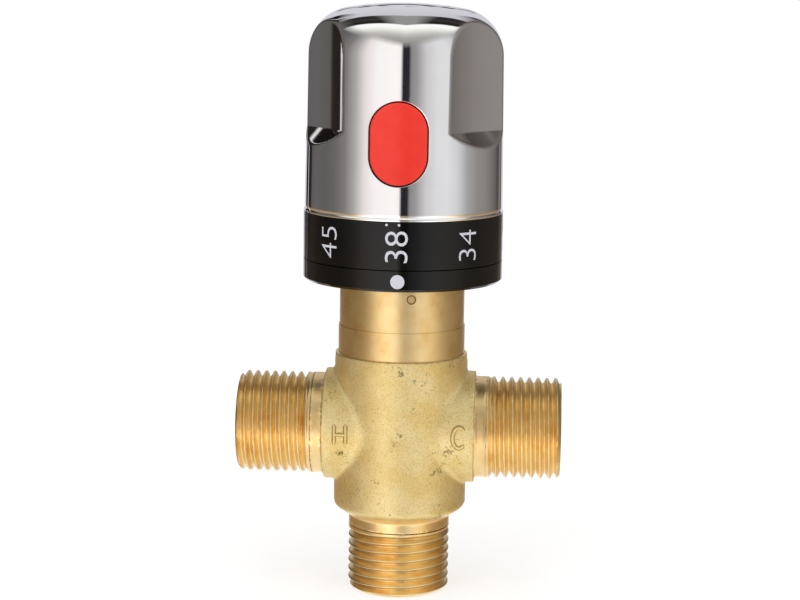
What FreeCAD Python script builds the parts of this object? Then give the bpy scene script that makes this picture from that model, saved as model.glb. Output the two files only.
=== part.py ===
import FreeCAD, Part
import os
import re
import Sketcher
from FreeCAD import Placement, Rotation, Vector

# Thermostatic mixing valve: a cast brass tee with two inlets at its sides and an outlet
# below, a cartridge with a wax element inside, and a chromed knob with a scale on top.
# +Z runs up the outlet's axis to the knob and the origin is the centre of the outlet's end.
# -Y is the front, where the scale is read. Hot water enters at -X and cold at +X.
# Lengths are in millimetres and angles in degrees.

doc = FreeCAD.newDocument("mixing_valve")

SIZES = [
    # the cast body and its three ports
    ("port_height", 34.3, "outlet end up to the inlets' axis"),
    ("port_reach", 33.2, "valve axis to the end of each inlet"),
    ("port_radius", 10.4775, "outside of the G 1/2 threads"),
    ("port_bore", 7.5, "bore radius of the three ports"),
    ("port_chamfer", 0.79, "chamfer at the ports' ends"),
    ("floor_step", 3.0, "boss's shoulder out to the floor of the inlet's bore"),
    ("boss_rim", 1.0225, "cast boss outside the threads"),
    ("boss_length", 1.9, "barrel's side out to the boss's shoulder"),
    ("boss_round", 0.6, "rounding of the boss's shoulder"),
    ("branch_fillet", 1.0, "fillet where boss and barrel meet"),
    ("barrel_wall", 1.6, "wall of the barrel round the galleries"),
    ("foot_drop", 18.7, "inlets' axis down to the barrel's foot"),
    ("foot_slope", 2.2, "height of the sloped foot"),
    ("cavity_margin", 3.6, "nut's flat out to the bore that takes the cartridge"),
    ("cage_drop", 14.3, "inlets' axis down to the cartridge's shoulder"),
    ("gallery_depth", 1.4, "depth of the ring-shaped water galleries"),
    ("gallery_inner", 2.6, "inlets' axis to the near edge of a gallery"),
    ("gallery_outer", 7.2, "inlets' axis to the far edge of a gallery"),
    ("passage_width", 10.0, "passage from inlet bore to gallery"),
    ("passage_margin", 0.1, "passage's edge inside the gallery's edge"),
    # clearances
    ("slip_gap", 0.05, "radial gap of pieces that slip together"),
    ("running_gap", 0.05, "radial gap of turning and sliding fits"),
    ("seal_gap", 0.03, "gap round a seal ring"),
    ("end_gap", 0.1, "end play of a trapped piece"),
    ("ring_gap", 0.2, "gap between scale ring and index ring"),
    # bonnet
    ("cap_clear", 0.7, "cold gallery up to the bonnet's foot"),
    ("pilot_length", 2.3, "plain pilot of the bonnet"),
    ("cap_thread_step", 1.3, "bonnet's thread outside the cartridge's bore"),
    ("cap_thread_length", 5.3, "length of that thread"),
    ("flange_inset", 0.6, "bonnet's flange inside the barrel's side"),
    ("flange_height", 5.8, "height of the flange"),
    ("neck_step", 2.2, "bonnet's neck inside the flange"),
    ("collar_inset", 0.2, "collar inside the flange's side"),
    ("collar_height", 10.4, "height of the collar"),
    ("boss_top_wall", 3.0, "bonnet's top boss outside the spindle"),
    ("boss_top_height", 4.0, "height of the top boss"),
    ("pocket_depth", 17.1, "depth of the hexagon pocket"),
    ("chamber_gap", 0.5, "chamber outside the spindle's thrust collar"),
    ("chamber_height", 1.8, "height of that chamber"),
    ("seal_groove", 1.2, "width of the seal grooves"),
    ("cap_groove_depth", 1.1, "depth of the bonnet's seal groove"),
    ("cap_groove_rise", 0.4, "bonnet's foot up to its seal groove"),
    ("pin_radius", 0.93, "locking pin in the collar"),
    ("pin_angle", 11.8, "locking pin's angle from the front"),
    ("pin_drop", 3.5, "collar's top down to the pin"),
    # index ring and stop ring
    ("dial_radius", 20.35, "outside of both rings"),
    ("index_drop", 0.9, "index ring below the collar's top"),
    ("index_web", 2.0, "thickness of the index ring's web"),
    ("index_height", 4.2, "height of the index ring"),
    ("index_wall", 1.75, "wall of the index ring's rim"),
    ("index_lip_gap", 1.5, "index ring's bore outside the bonnet's top boss"),
    ("index_chamfer", 0.5, "chamfer under the rim"),
    ("tongue_gap", 0.4, "stop ring's side out to the button's tongue"),
    ("stop_height", 2.0, "thickness of the stop ring"),
    ("lug_depth", 2.5, "depth of the stop lug"),
    ("lug_height", 1.9, "height of the lug above its ring"),
    ("turn_cold", 150.0, "turn from the rest place to full cold"),
    ("turn_hot", 105.0, "turn from the rest place to full hot"),
    ("stop_angle", 8.0, "half angle that the knob's finger takes"),
    ("key_width", 2.0, "key of the stop ring"),
    ("key_depth", 1.0, "depth of the key"),
    ("clip_thick", 0.6, "thickness of the stop ring's clip"),
    ("clip_depth", 0.7, "depth of that clip's groove"),
    ("clip_reach", 0.9, "that clip outside the boss"),
    # spindle
    ("spindle_radius", 5.0, "journal of the spindle"),
    ("screw_step", 0.6, "adjusting screw inside the journal"),
    ("screw_length", 5.5, "screw below the thrust collar"),
    ("thrust_inset", 0.5, "thrust collar inside the nut's flats"),
    ("thrust_height", 1.5, "thickness of the thrust collar"),
    ("spindle_groove_depth", 1.1, "depth of the spindle's seal groove"),
    ("spindle_groove_rise", 3.4, "thrust collar up to the seal groove"),
    ("circlip_thick", 1.0, "thickness of the spindle's circlip"),
    ("circlip_depth", 0.9, "depth of the circlip's groove"),
    ("circlip_reach", 1.6, "circlip outside the journal"),
    ("circlip_land", 0.8, "journal above the circlip's groove"),
    ("spline_step", 1.0, "splines inside the journal"),
    ("spline_length", 18.0, "length of the splined head"),
    ("spline_count", 12, "number of flutes"),
    ("flute_radius", 0.5, "radius of each flute"),
    ("tapping_radius", 2.0, "screw thread in the spindle's head"),
    ("tapping_depth", 10.5, "depth of that thread"),
    # adjusting nut and what it holds
    ("nut_across", 14.0, "width across the flats of the nut"),
    ("nut_gap", 0.1, "gap between a flat and its pocket"),
    ("nut_headroom", 1.3, "pocket's roof down to the nut"),
    ("nut_length", 12.0, "length of the nut"),
    ("nut_thread", 5.0, "length of the nut's thread"),
    ("nut_wall", 1.4, "wall of the nut at its flats"),
    ("retainer_rise", 0.4, "nut's foot up to the retaining ring"),
    ("retainer_thick", 0.5, "thickness of the retaining ring"),
    ("retainer_lip", 1.0, "retaining ring's lip inside the nut's bore"),
    ("retainer_seat", 0.5, "depth of the retaining ring's groove"),
    ("thrust_cap_height", 1.4, "thickness of the thrust cap"),
    ("thrust_cap_gap", 0.2, "radial gap round the thrust cap"),
    ("dimple_depth", 0.6, "seat of the pin in the thrust cap"),
    ("piston_radius", 1.4, "piston pin"),
    ("piston_drop", 1.0, "pin's foot above the inlets' axis"),
    # wax element and mixing sleeve
    ("bulb_radius", 4.0, "wax bulb"),
    ("bulb_length", 17.5, "length of the bulb below its flange"),
    ("bulb_round", 2.0, "rounding of the bulb's end"),
    ("cup_rim", 0.1, "element's flange outside the return spring"),
    ("cup_height", 1.5, "thickness of that flange"),
    ("cup_drop", 1.0, "inlets' axis down to the flange's top"),
    ("guide_wall", 1.6, "wall of the element's guide neck"),
    ("guide_length", 8.0, "length of the guide neck"),
    ("guide_floor", 1.0, "pin's foot down to the floor of its bore"),
    ("sleeve_gap", 0.1, "radial gap round the mixing sleeve"),
    ("sleeve_wall", 1.3, "wall of the mixing sleeve"),
    ("sleeve_half", 4.5, "half length of the mixing sleeve"),
    ("sleeve_groove_depth", 0.7, "depth of the sleeve's seal groove"),
    ("hub_wall", 2.0, "wall of the hub of the sleeve's spider"),
    ("hub_height", 2.0, "height of the hub"),
    ("spoke_width", 2.0, "width of a spoke"),
    ("spoke_count", 4, "number of spokes"),
    # cartridge cage
    ("cage_gap", 0.1, "radial gap round the cage"),
    ("cage_wall", 1.5, "wall of the cage"),
    ("seat_step", 1.6, "width of both valve seats"),
    ("hot_seat_drop", 6.4, "inlets' axis down to the hot seat"),
    ("hot_seat_thick", 2.5, "thickness of the hot seat"),
    ("cold_seat_rise", 6.0, "inlets' axis up to the cold seat"),
    ("spider_rise", 0.3, "cage's foot up to its spider"),
    ("spider_height", 1.5, "thickness of the spider"),
    ("spider_gap", 0.6, "radial gap between bulb and spider"),
    ("spider_rim", 1.5, "width of the spider's ring"),
    ("spider_holes", 4, "openings in the spider"),
    ("spider_leg", 12.0, "half angle of a spider leg"),
    ("window_width", 6.5, "width of a window in the cage"),
    ("window_count", 6, "windows in each row"),
    ("cage_groove_depth", 0.75, "depth of the cage's seal grooves"),
    ("cage_groove_rise", 2.4, "cage's foot up to its lower groove"),
    # springs
    ("return_wire", 0.6, "wire radius of the return spring"),
    ("return_gap", 0.5, "radial gap between bulb and return spring"),
    ("return_turns", 5, "turns of the return spring"),
    ("overload_wire", 0.6, "wire radius of the overload spring"),
    ("overload_gap", 0.4, "radial gap between overload spring and nut"),
    ("overload_turns", 2.5, "turns of the overload spring"),
    ("button_wire", 0.35, "wire radius of the button's spring"),
    ("button_coil", 2.4, "mean radius of the button's spring"),
    ("button_turns", 5, "turns of the button's spring"),
    ("check_wire", 0.3, "wire radius of a check spring"),
    ("check_coil", 2.2, "mean radius of a check spring"),
    ("check_turns", 3.5, "turns of a check spring"),
    ("spring_seat", 0.02, "gap at a spring's ends"),
    # knob
    ("knob_inset", 0.05, "knob's lower edge inside the rings' side"),
    ("knob_taper", 0.5, "narrowing of the knob up to its shoulder"),
    ("knob_height", 42.0, "height of the knob"),
    ("shoulder_drop", 10.5, "knob's top down to where the shoulder starts"),
    ("shoulder_round", 9.66, "radius of the shoulder"),
    ("skirt_wall", 2.1, "wall of the knob's skirt"),
    ("scoop_wall", 1.8, "wall of the knob behind the scoops"),
    ("skirt_depth", 10.0, "depth of the wider bore"),
    ("land_wall", 2.0, "wall of the knob behind the lands"),
    ("land_stop", 0.5, "top of the hollow behind the lands below the shoulder"),
    ("roof_depth", 4.0, "knob's top down to the roof inside"),
    ("roof_step", 4.0, "width of the sloped roof inside"),
    ("roof_slope", 5.0, "height of the sloped roof inside"),
    ("scoop_depth", 3.0, "depth of a scoop at the shoulder"),
    ("scoop_hollow", 62.0, "radius of a scoop's hollow face"),
    ("scoop_turn", 2.2, "scoops turned from the knob's middle towards the hot inlet"),
    ("scoop_rise", 17.0, "knob's foot up to the start of a scoop's floor"),
    ("scoop_count", 3, "scoops round the knob"),
    ("knob_hub_wall", 1.5, "wall of the hub inside the knob"),
    ("knob_hub_drop", 3.0, "hub below the knob's foot"),
    ("adaptor_wall", 2.0, "wall of the spline adaptor"),
    ("adaptor_length", 16.0, "length of the spline adaptor"),
    ("adaptor_web", 1.8, "top web of the adaptor"),
    ("knob_web", 3.0, "web that the knob's screw clamps"),
    ("screw_clear", 0.2, "radial clearance of the knob's screw"),
    ("well_gap", 0.4, "radial gap round the screw's head"),
    ("rib_thick", 1.6, "thickness of the ribs in the knob"),
    ("finger_width", 3.0, "width of the stop finger"),
    ("finger_gap", 0.3, "radial gap between finger and lug"),
    ("finger_clear", 0.5, "finger's foot above the stop ring"),
    # screw and cap of the knob
    ("screw_shank_length", 14.5, "length of that shank"),
    ("screw_head_rim", 1.4, "head of the knob's screw outside its hole"),
    ("screw_head_height", 2.6, "height of that head"),
    ("screw_key", 1.5, "half width across its hexagon socket"),
    ("lid_step", 5.0, "cap outside the screw's well"),
    ("lid_recess", 1.6, "knob's top down to the cap's seat"),
    ("lid_plug", 3.4, "length of the cap's plug"),
    # scale ring
    ("scale_height", 9.5, "height of the scale ring"),
    ("scale_wall", 1.75, "wall of the scale ring"),
    ("scale_spigot", 3.5, "spigot inside the knob's skirt"),
    ("scale_spigot_wall", 1.4, "wall of that spigot with its gap"),
    # button
    ("button_width", 11.2, "width of the button"),
    ("button_height", 16.1, "height of the button"),
    ("button_rise", 15.1, "knob's foot up to the button's middle"),
    ("button_proud", 0.35, "button's face beyond the knob"),
    ("button_gap", 0.3, "gap round the button"),
    ("button_round", 0.35, "rounding of the button's edge"),
    ("button_lip", 1.1, "lip behind the knob's wall"),
    ("button_depth", 4.4, "knob's side in to the back of the button's lip"),
    ("button_lip_thick", 1.5, "thickness of the lip"),
    ("tongue_width", 5.0, "tongue below the button"),
    ("tongue_thick", 1.5, "thickness of the tongue"),
    ("tongue_clear", 0.4, "tongue's foot above the stop lug"),
    ("peg_gap", 0.15, "radial gap between peg and spring"),
    ("peg_length", 1.5, "length of that peg"),
    # check valves in the inlets
    ("check_gap", 0.15, "radial gap round a check valve's housing"),
    ("check_inset", 3.2, "inlet's end in to the housing's end"),
    ("check_wall", 1.25, "wall of the housing"),
    ("check_seat_width", 2.1, "width of the seat"),
    ("check_seat_thick", 2.2, "thickness of the seat"),
    ("check_groove_depth", 0.6, "depth of its seal groove"),
    ("check_groove_end", 1.1, "housing's end in to its seal groove"),
    ("check_hub_rise", 2.1, "housing's foot up to the guide"),
    ("check_hub_height", 1.4, "height of the guide"),
    ("check_hub_radius", 3.2, "outside of the guide's hub"),
    ("check_leg", 14.0, "half angle of a guide's leg"),
    ("check_holes", 3, "openings in the guide"),
    ("poppet_cover", 0.9, "poppet's disc over the seat's bore"),
    ("poppet_thick", 1.3, "thickness of the disc"),
    ("poppet_stem", 1.2, "poppet's stem"),
    ("poppet_stem_inset", 0.2, "guide's foot up to the end of the stem"),
]

# Sizes that follow from others, as formulas in the sheet's names: what fits in, round or
# through another piece takes its size from that piece and a wall or a clearance.
TIED = {
    # the body's bores and walls, from the nut out
    "cavity_radius": "nut_across / 2 + cavity_margin",
    "gallery_radius": "cavity_radius + gallery_depth",
    "barrel_radius": "gallery_radius + barrel_wall",
    "boss_radius": "port_radius + boss_rim",
    "boss_reach": "barrel_radius + boss_length",
    "port_floor": "boss_reach + floor_step",
    # bonnet, rings and spindle
    "cap_thread_radius": "cavity_radius + cap_thread_step",
    "cap_groove_floor": "cavity_radius - cap_groove_depth",
    "flange_radius": "barrel_radius - flange_inset",
    "neck_radius": "flange_radius - neck_step",
    "collar_radius": "flange_radius - collar_inset",
    "boss_top_radius": "spindle_radius + boss_top_wall",
    "index_lip": "boss_top_radius + index_lip_gap",
    "stop_radius": "button_back - tongue_thick - tongue_gap",
    "lug_bore": "stop_radius - lug_depth",
    "clip_groove": "boss_top_radius - clip_depth",
    "clip_radius": "boss_top_radius + clip_reach",
    "thrust_radius": "nut_across / 2 - thrust_inset",
    "chamber_radius": "thrust_radius + chamber_gap",
    "screw_radius": "spindle_radius - screw_step",
    "spindle_groove_floor": "spindle_radius - spindle_groove_depth",
    "circlip_floor": "spindle_radius - circlip_depth",
    "circlip_radius": "spindle_radius + circlip_reach",
    "spline_radius": "spindle_radius - spline_step",
    # adjusting nut and what it holds
    "spring_chamber": "nut_across / 2 - nut_wall",
    "retainer_bore": "spring_chamber - retainer_lip",
    "retainer_radius": "spring_chamber + retainer_seat",
    "thrust_cap_radius": "spring_chamber - thrust_cap_gap",
    "overload_radius": "spring_chamber - overload_gap - overload_wire",
    # cage, sleeve and element
    "cage_radius": "cavity_radius - cage_gap",
    "cage_bore": "cage_radius - cage_wall",
    "cage_groove_floor": "cage_radius - cage_groove_depth",
    "seat_bore": "cage_bore - seat_step",
    "sleeve_radius": "cage_bore - sleeve_gap",
    "sleeve_bore": "sleeve_radius - sleeve_wall",
    "sleeve_groove_floor": "sleeve_radius - sleeve_groove_depth",
    "guide_radius": "piston_radius + guide_wall",
    "hub_radius": "guide_radius + hub_wall",
    "spider_bore": "bulb_radius + spider_gap",
    "spider_ring": "spider_bore + spider_rim",
    "return_radius": "bulb_radius + return_gap + return_wire",
    "cup_radius": "return_radius + return_wire + cup_rim",
    # knob, its screw and its cap
    "knob_foot_radius": "dial_radius - knob_inset",
    "knob_top_radius": "knob_foot_radius - knob_taper",
    "skirt_bore": "knob_foot_radius - skirt_wall",
    "land_bore": "knob_top_radius - land_wall",
    "land_depth": "knob_height - shoulder_drop - skirt_depth - land_stop",
    "scoop_floor": "knob_top_radius - scoop_depth",
    "shell_bore": "scoop_floor - scoop_wall",
    "roof_bore": "shell_bore - roof_step",
    "adaptor_radius": "spline_radius + adaptor_wall",
    "knob_hub_radius": "adaptor_radius + knob_hub_wall",
    "screw_hole": "tapping_radius + screw_clear",
    "screw_shank": "tapping_radius - slip_gap",
    "screw_head_radius": "screw_hole + screw_head_rim",
    "well_radius": "screw_head_radius + well_gap",
    "lid_radius": "well_radius + lid_step",
    "finger_bore": "lug_bore + finger_gap",
    "finger_depth": "lug_depth - 2 * finger_gap",
    # scale ring and button
    "scale_spigot_bore": "skirt_bore - scale_spigot_wall",
    "button_back": "knob_top_radius - button_depth",
    "peg_radius": "button_coil - button_wire - peg_gap",
    # check valves
    "check_radius": "port_bore - check_gap",
    "check_length": "port_reach - port_floor - check_inset",
    "check_bore": "check_radius - check_wall",
    "check_seat_bore": "check_bore - check_seat_width",
    "check_groove_floor": "check_radius - check_groove_depth",
    "check_groove_rise": "check_length - check_groove_end - seal_groove",
    "poppet_radius": "check_seat_bore + poppet_cover",
    "poppet_stem_end": "check_hub_rise + poppet_stem_inset",
}

sheet = doc.addObject("Spreadsheet::Sheet", "size")
for row, (name, number, words) in enumerate(SIZES, start=1):
    sheet.set(f"A{row}", words)
    sheet.set(f"B{row}", str(number))
    sheet.setAlias(f"B{row}", name)
doc.recompute()
NAMES = {name for name, number, words in SIZES}
PIECES = []

# Heights that several pieces share, as formulas in the sheet's names, from the bottom up.
CAGE_FOOT = "(port_height - cage_drop)"
CAP_FOOT = "(port_height + gallery_outer + cap_clear)"
CAGE_TOP = f"({CAP_FOOT} - end_gap)"
CAP_THREAD = f"({CAP_FOOT} + pilot_length)"
BARREL_TOP = f"({CAP_THREAD} + cap_thread_length)"
FLANGE_TOP = f"({BARREL_TOP} + flange_height)"
NECK_TOP = f"({FLANGE_TOP} + collar_height)"
BOSS_TOP = f"({NECK_TOP} + boss_top_height)"
POCKET_TOP = f"({CAP_FOOT} + pocket_depth)"
CHAMBER_TOP = f"({POCKET_TOP} + chamber_height)"
THRUST_TOP = f"({CHAMBER_TOP} - end_gap)"
CIRCLIP = f"({BOSS_TOP} + ring_gap)"
SPLINE_FOOT = f"({CIRCLIP} + circlip_thick + circlip_land)"
SPINDLE_TOP = f"({SPLINE_FOOT} + spline_length)"
NUT_TOP = f"({POCKET_TOP} - nut_headroom)"
NUT_FOOT = f"({NUT_TOP} - nut_length)"
RETAINER = f"({NUT_FOOT} + retainer_rise)"
THRUST_CAP = f"({RETAINER} + retainer_thick + slip_gap)"
PISTON_FOOT = "(port_height + piston_drop)"
INDEX_FOOT = f"({NECK_TOP} - index_drop)"
INDEX_WEB = f"({INDEX_FOOT} + index_web)"
INDEX_TOP = f"({INDEX_FOOT} + index_height)"
STOP_TOP = f"({INDEX_WEB} + stop_height)"
LUG_TOP = f"({STOP_TOP} + lug_height)"
SCALE_FOOT = f"({INDEX_TOP} + ring_gap)"
KNOB_FOOT = f"({SCALE_FOOT} + scale_height)"
KNOB_TOP = f"({KNOB_FOOT} + knob_height)"
HUB_FOOT = f"({KNOB_FOOT} - knob_hub_drop)"
ADAPTOR_TOP = f"({HUB_FOOT} + adaptor_length)"
SCREW_SEAT = f"({ADAPTOR_TOP} + knob_web)"
LID_SEAT = f"({KNOB_TOP} - lid_recess)"
BUTTON_MID = f"({KNOB_FOOT} + button_rise)"
CUP_TOP = "(port_height - cup_drop)"


def bound(formula):
    """Spell a formula out in the sheet's cells, with each tied size as its own formula."""
    def spell(match):
        name = match[0]
        if name in TIED:
            return f"({bound(TIED[name])})"
        return f"size.{name}" if name in NAMES else name

    return re.sub(r"[a-z_]+", spell, formula)


def value(formula):
    """The number that a formula gives now."""
    return float(sheet.evalExpression(bound(formula)))


def tie(thing, setting, formula):
    """Bind one property to a formula in the sheet's names."""
    thing.setExpression(setting, bound(formula))


def piece(kind, label):
    """Start a sub-part."""
    thing = doc.addObject(kind, label)
    thing.Label = label
    PIECES.append(thing)
    return thing


def lay_along_inlet(thing, side, reach="0"):
    """Turn a piece made along +Z to lie along an inlet, on side -1 or +1."""
    thing.Placement = Placement(Vector(), Rotation(Vector(0, 1, 0), 90 * side))
    tie(thing, "Placement.Base.x", f"{side} * {reach}")
    tie(thing, "Placement.Base.z", "port_height")


def origin_part(body, role):
    """One of a body's own origin planes or axes."""
    return next(part for part in body.Origin.OriginFeatures if part.Role == role)


def sketch_on(body, name, plane="XZ_Plane", forward="0", lift="0", turn=0):
    """A sketch on an origin plane, moved along its normal and its own Y, and turned about Z."""
    sketch = body.newObject("Sketcher::SketchObject", f"{body.Name}_{name}")
    sketch.AttachmentSupport = [(origin_part(body, plane), "")]
    sketch.MapMode = "FlatFace"
    spin = Rotation(Vector(0, 1, 0), turn)
    away = spin.multVec(Vector(0, 0, value(forward)))
    sketch.AttachmentOffset = Placement(away, spin)
    if turn == 0:
        tie(sketch, "AttachmentOffset.Base.z", forward)
    tie(sketch, "AttachmentOffset.Base.y", lift)
    return sketch


def pin_down(sketch, item, end, x, y):
    """Fix one point of a sketch at two formulas."""
    for way, formula in (("DistanceX", x), ("DistanceY", y)):
        number = sketch.addConstraint(Sketcher.Constraint(way, -1, 1, item, end, value(formula)))
        tie(sketch, f"Constraints[{number}]", formula)


def draw(sketch, corners, arcs=None):
    """Close an outline through corners, pairs of formulas. arcs gives a side's radius formula
    and the hand it bulges to: 1 is to the right of the way the side runs, -1 to the left."""
    arcs = arcs or {}
    spots = [Vector(value(x), value(y), 0) for x, y in corners]
    start = sketch.GeometryCount
    count = len(spots)
    for i, spot in enumerate(spots):
        following = spots[(i + 1) % count]
        if i in arcs:
            radius, hand = value(arcs[i][0]), arcs[i][1]
            chord = following - spot
            right = Vector(chord.y, -chord.x, 0).normalize()
            rise = radius - (radius * radius - chord.Length ** 2 / 4) ** 0.5
            sketch.addGeometry(Part.Arc(spot, (spot + following) / 2 + right * hand * rise, following))
        else:
            sketch.addGeometry(Part.LineSegment(spot, following))
    flipped = {i for i, (radius, hand) in arcs.items() if hand < 0}
    for i, (x, y) in enumerate(corners):
        before = (i - 1) % count
        head = 2 if i in flipped else 1
        tail = 1 if before in flipped else 2
        sketch.addConstraint(Sketcher.Constraint("Coincident", start + before, tail, start + i, head))
        pin_down(sketch, start + i, head, x, y)
    for i, (radius, hand) in arcs.items():
        number = sketch.addConstraint(Sketcher.Constraint("Radius", start + i, value(radius)))
        tie(sketch, f"Constraints[{number}]", radius)
    return sketch


def draw_circle(sketch, x, y, radius):
    """A circle about a point."""
    item = sketch.addGeometry(Part.Circle(Vector(value(x), value(y), 0), Vector(0, 0, 1), value(radius)))
    pin_down(sketch, item, 3, x, y)
    number = sketch.addConstraint(Sketcher.Constraint("Radius", item, value(radius)))
    tie(sketch, f"Constraints[{number}]", radius)
    return sketch


def draw_hexagon(sketch, across, x="0", y="0"):
    """A hexagon about a point, with its flats above and below."""
    near, far, half = f"({across}) / sqrt(12)", f"({across}) / sqrt(3)", f"({across}) / 2"
    corners = [(f"{x} + {far}", y), (f"{x} + {near}", f"{y} + {half}")]
    corners += [(f"{x} - {near}", f"{y} + {half}"), (f"{x} - {far}", y)]
    corners += [(f"{x} - {near}", f"{y} - {half}"), (f"{x} + {near}", f"{y} - {half}")]
    return draw(sketch, corners)


def draw_sector(sketch, inner, outer, half_angle, middle):
    """A piece of a ring between two radii, half_angle each side of the angle middle."""
    low, high = f"({middle} - ({half_angle}))", f"({middle} + ({half_angle}))"
    corners = [(f"({inner}) * cos({low})", f"({inner}) * sin({low})")]
    corners += [(f"({outer}) * cos({low})", f"({outer}) * sin({low})")]
    corners += [(f"({outer}) * cos({high})", f"({outer}) * sin({high})")]
    corners += [(f"({inner}) * cos({high})", f"({inner}) * sin({high})")]
    return draw(sketch, corners, {1: (outer, 1), 3: (inner, -1)})


def draw_stadium(sketch, width, height):
    """An upright slot with round ends about the sketch's origin."""
    radius, reach = value(width) / 2, (value(height) - value(width)) / 2
    half_turn = 3.141592653589793
    lower = Part.Circle(Vector(0, -reach, 0), Vector(0, 0, 1), radius)
    upper = Part.Circle(Vector(0, reach, 0), Vector(0, 0, 1), radius)
    sketch.addGeometry(Part.ArcOfCircle(lower, half_turn, 2 * half_turn))
    sketch.addGeometry(Part.LineSegment(Vector(radius, -reach, 0), Vector(radius, reach, 0)))
    sketch.addGeometry(Part.ArcOfCircle(upper, 0, half_turn))
    sketch.addGeometry(Part.LineSegment(Vector(-radius, reach, 0), Vector(-radius, -reach, 0)))
    for first, second in ((0, 1), (1, 2), (2, 3), (3, 0)):
        sketch.addConstraint(Sketcher.Constraint("Tangent", first, 2, second, 1))
    sketch.addConstraint(Sketcher.Constraint("Equal", 0, 2))
    pin_down(sketch, 0, 3, "0", f"-({height} - {width}) / 2")
    pin_down(sketch, 2, 3, "0", f"({height} - {width}) / 2")
    number = sketch.addConstraint(Sketcher.Constraint("Radius", 0, radius))
    tie(sketch, f"Constraints[{number}]", f"{width} / 2")
    return sketch


def revolve(body, name, sketch, axis="V_Axis", kind="Revolution"):
    """Turn a sketch all the way round one of its axes."""
    turned = body.newObject(f"PartDesign::{kind}", f"{body.Name}_{name}")
    turned.Profile = sketch
    turned.ReferenceAxis = (sketch, [axis])
    turned.Angle = 360
    return turned


def turned_piece(label, corners, arcs=None):
    """A sub-part whose outline, as radius and height, is turned about the Z axis."""
    body = piece("PartDesign::Body", label)
    revolve(body, "turned", draw(sketch_on(body, "outline"), corners, arcs))
    return body


def pad(body, name, sketch, length, flipped=False, both_ways=False):
    """Add a sketch's area along its normal."""
    padded = body.newObject("PartDesign::Pad", f"{body.Name}_{name}")
    padded.Profile = sketch
    padded.Reversed = flipped
    padded.Midplane = both_ways
    tie(padded, "Length", length)
    return padded


def cut(body, name, sketch, length=None, flipped=False, axis="V_Axis"):
    """Pocket a sketch's area along its normal, or groove it round an axis with no length."""
    doc.recompute()
    before = body.Shape.Volume
    if length is None:
        removed = revolve(body, name, sketch, axis, "Groove")
    else:
        removed = body.newObject("PartDesign::Pocket", f"{body.Name}_{name}")
        removed.Profile = sketch
        removed.Reversed = flipped
        tie(removed, "Length", length)
    doc.recompute()
    if not body.Shape.Volume < before - 1e-6:
        raise RuntimeError(f"{body.Label}: {name} cuts nothing")
    return removed


def repeat_round(body, features, count):
    """Repeat features evenly round the Z axis."""
    pattern = body.newObject("PartDesign::PolarPattern", f"{features[0].Name}_round")
    pattern.Originals = features
    pattern.Axis = (origin_part(body, "Z_Axis"), [""])
    pattern.Angle = 360
    tie(pattern, "Occurrences", count)
    body.Tip = pattern
    return pattern


def soften(body, name, radius, wanted, kind="Fillet", size="Radius"):
    """Fillet or chamfer each edge that the test wanted picks."""
    doc.recompute()
    tip = body.Tip
    edges = [f"Edge{i}" for i, edge in enumerate(tip.Shape.Edges, start=1) if wanted(edge)]
    dressed = body.newObject(f"PartDesign::{kind}", f"{body.Name}_{name}")
    dressed.Base = (tip, edges)
    tie(dressed, size, radius)
    return dressed


def seal_ring(label, floor, wall, height, side=0):
    """A rubber ring between a groove's floor and the wall outside it."""
    ring = piece("Part::Torus", label)
    tie(ring, "Radius1", f"(({floor}) + ({wall})) / 2")
    tie(ring, "Radius2", f"(({wall}) - ({floor})) / 2 - seal_gap")
    if side:
        lay_along_inlet(ring, side, f"({height})")
    else:
        tie(ring, "Placement.Base.z", height)
    return ring


def coil_spring(label, coil, wire, turns, foot, top):
    """A wire wound about the Z axis between two heights. Its section has six flats, because a
    round one would take more faces than all the rest of the valve."""
    body = piece("PartDesign::Body", label)
    middle = f"({foot} + {wire} + spring_seat)"
    sketch = draw_hexagon(sketch_on(body, "wire"), f"2 * {wire}", coil, middle)
    wound = body.newObject("PartDesign::AdditiveHelix", f"{label}_wound")
    wound.Profile = sketch
    wound.ReferenceAxis = (sketch, ["V_Axis"])
    wound.Mode = "height-turns-angle"
    tie(wound, "Height", f"{top} - {foot} - 2 * {wire} - 2 * spring_seat")
    tie(wound, "Turns", turns)
    return body


# The cast body: a barrel turned about Z crossed by two bosses turned about the inlets' axis.
body = turned_piece("valve_body", [
    ("0", "0"),
    ("port_radius - port_chamfer", "0"),
    ("port_radius", "port_chamfer"),
    ("port_radius", "port_height - foot_drop"),
    ("barrel_radius", "port_height - foot_drop + foot_slope"),
    ("barrel_radius", BARREL_TOP),
    ("0", BARREL_TOP),
])
arms = []
for side in ("", "-"):
    arm = [(f"{side}port_reach", "0"), (f"{side}port_reach", "port_radius - port_chamfer")]
    arm += [(f"{side}(port_reach - port_chamfer)", "port_radius")]
    arm += [(f"{side}boss_reach", "port_radius"), (f"{side}boss_reach", "boss_radius")]
    arms.append(arm)
sketch = sketch_on(body, "arms_outline", lift="port_height")
revolve(body, "arms", draw(sketch, arms[0] + arms[1][::-1]), axis="H_Axis")
soften(body, "branch", "branch_fillet", lambda edge: edge.Curve.TypeId == "Part::GeomBSplineCurve")


def on_boss_shoulder(edge):
    """The rim of a boss's shoulder."""
    box = edge.BoundBox
    reach, rim = value("boss_reach"), value("boss_radius")
    flat = box.XLength < 1e-6 and abs(abs(box.Center.x) - reach) < 1e-3
    return flat and abs(box.YLength / 2 - rim) < 1e-3


soften(body, "shoulder", "boss_round", on_boss_shoulder)

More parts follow.
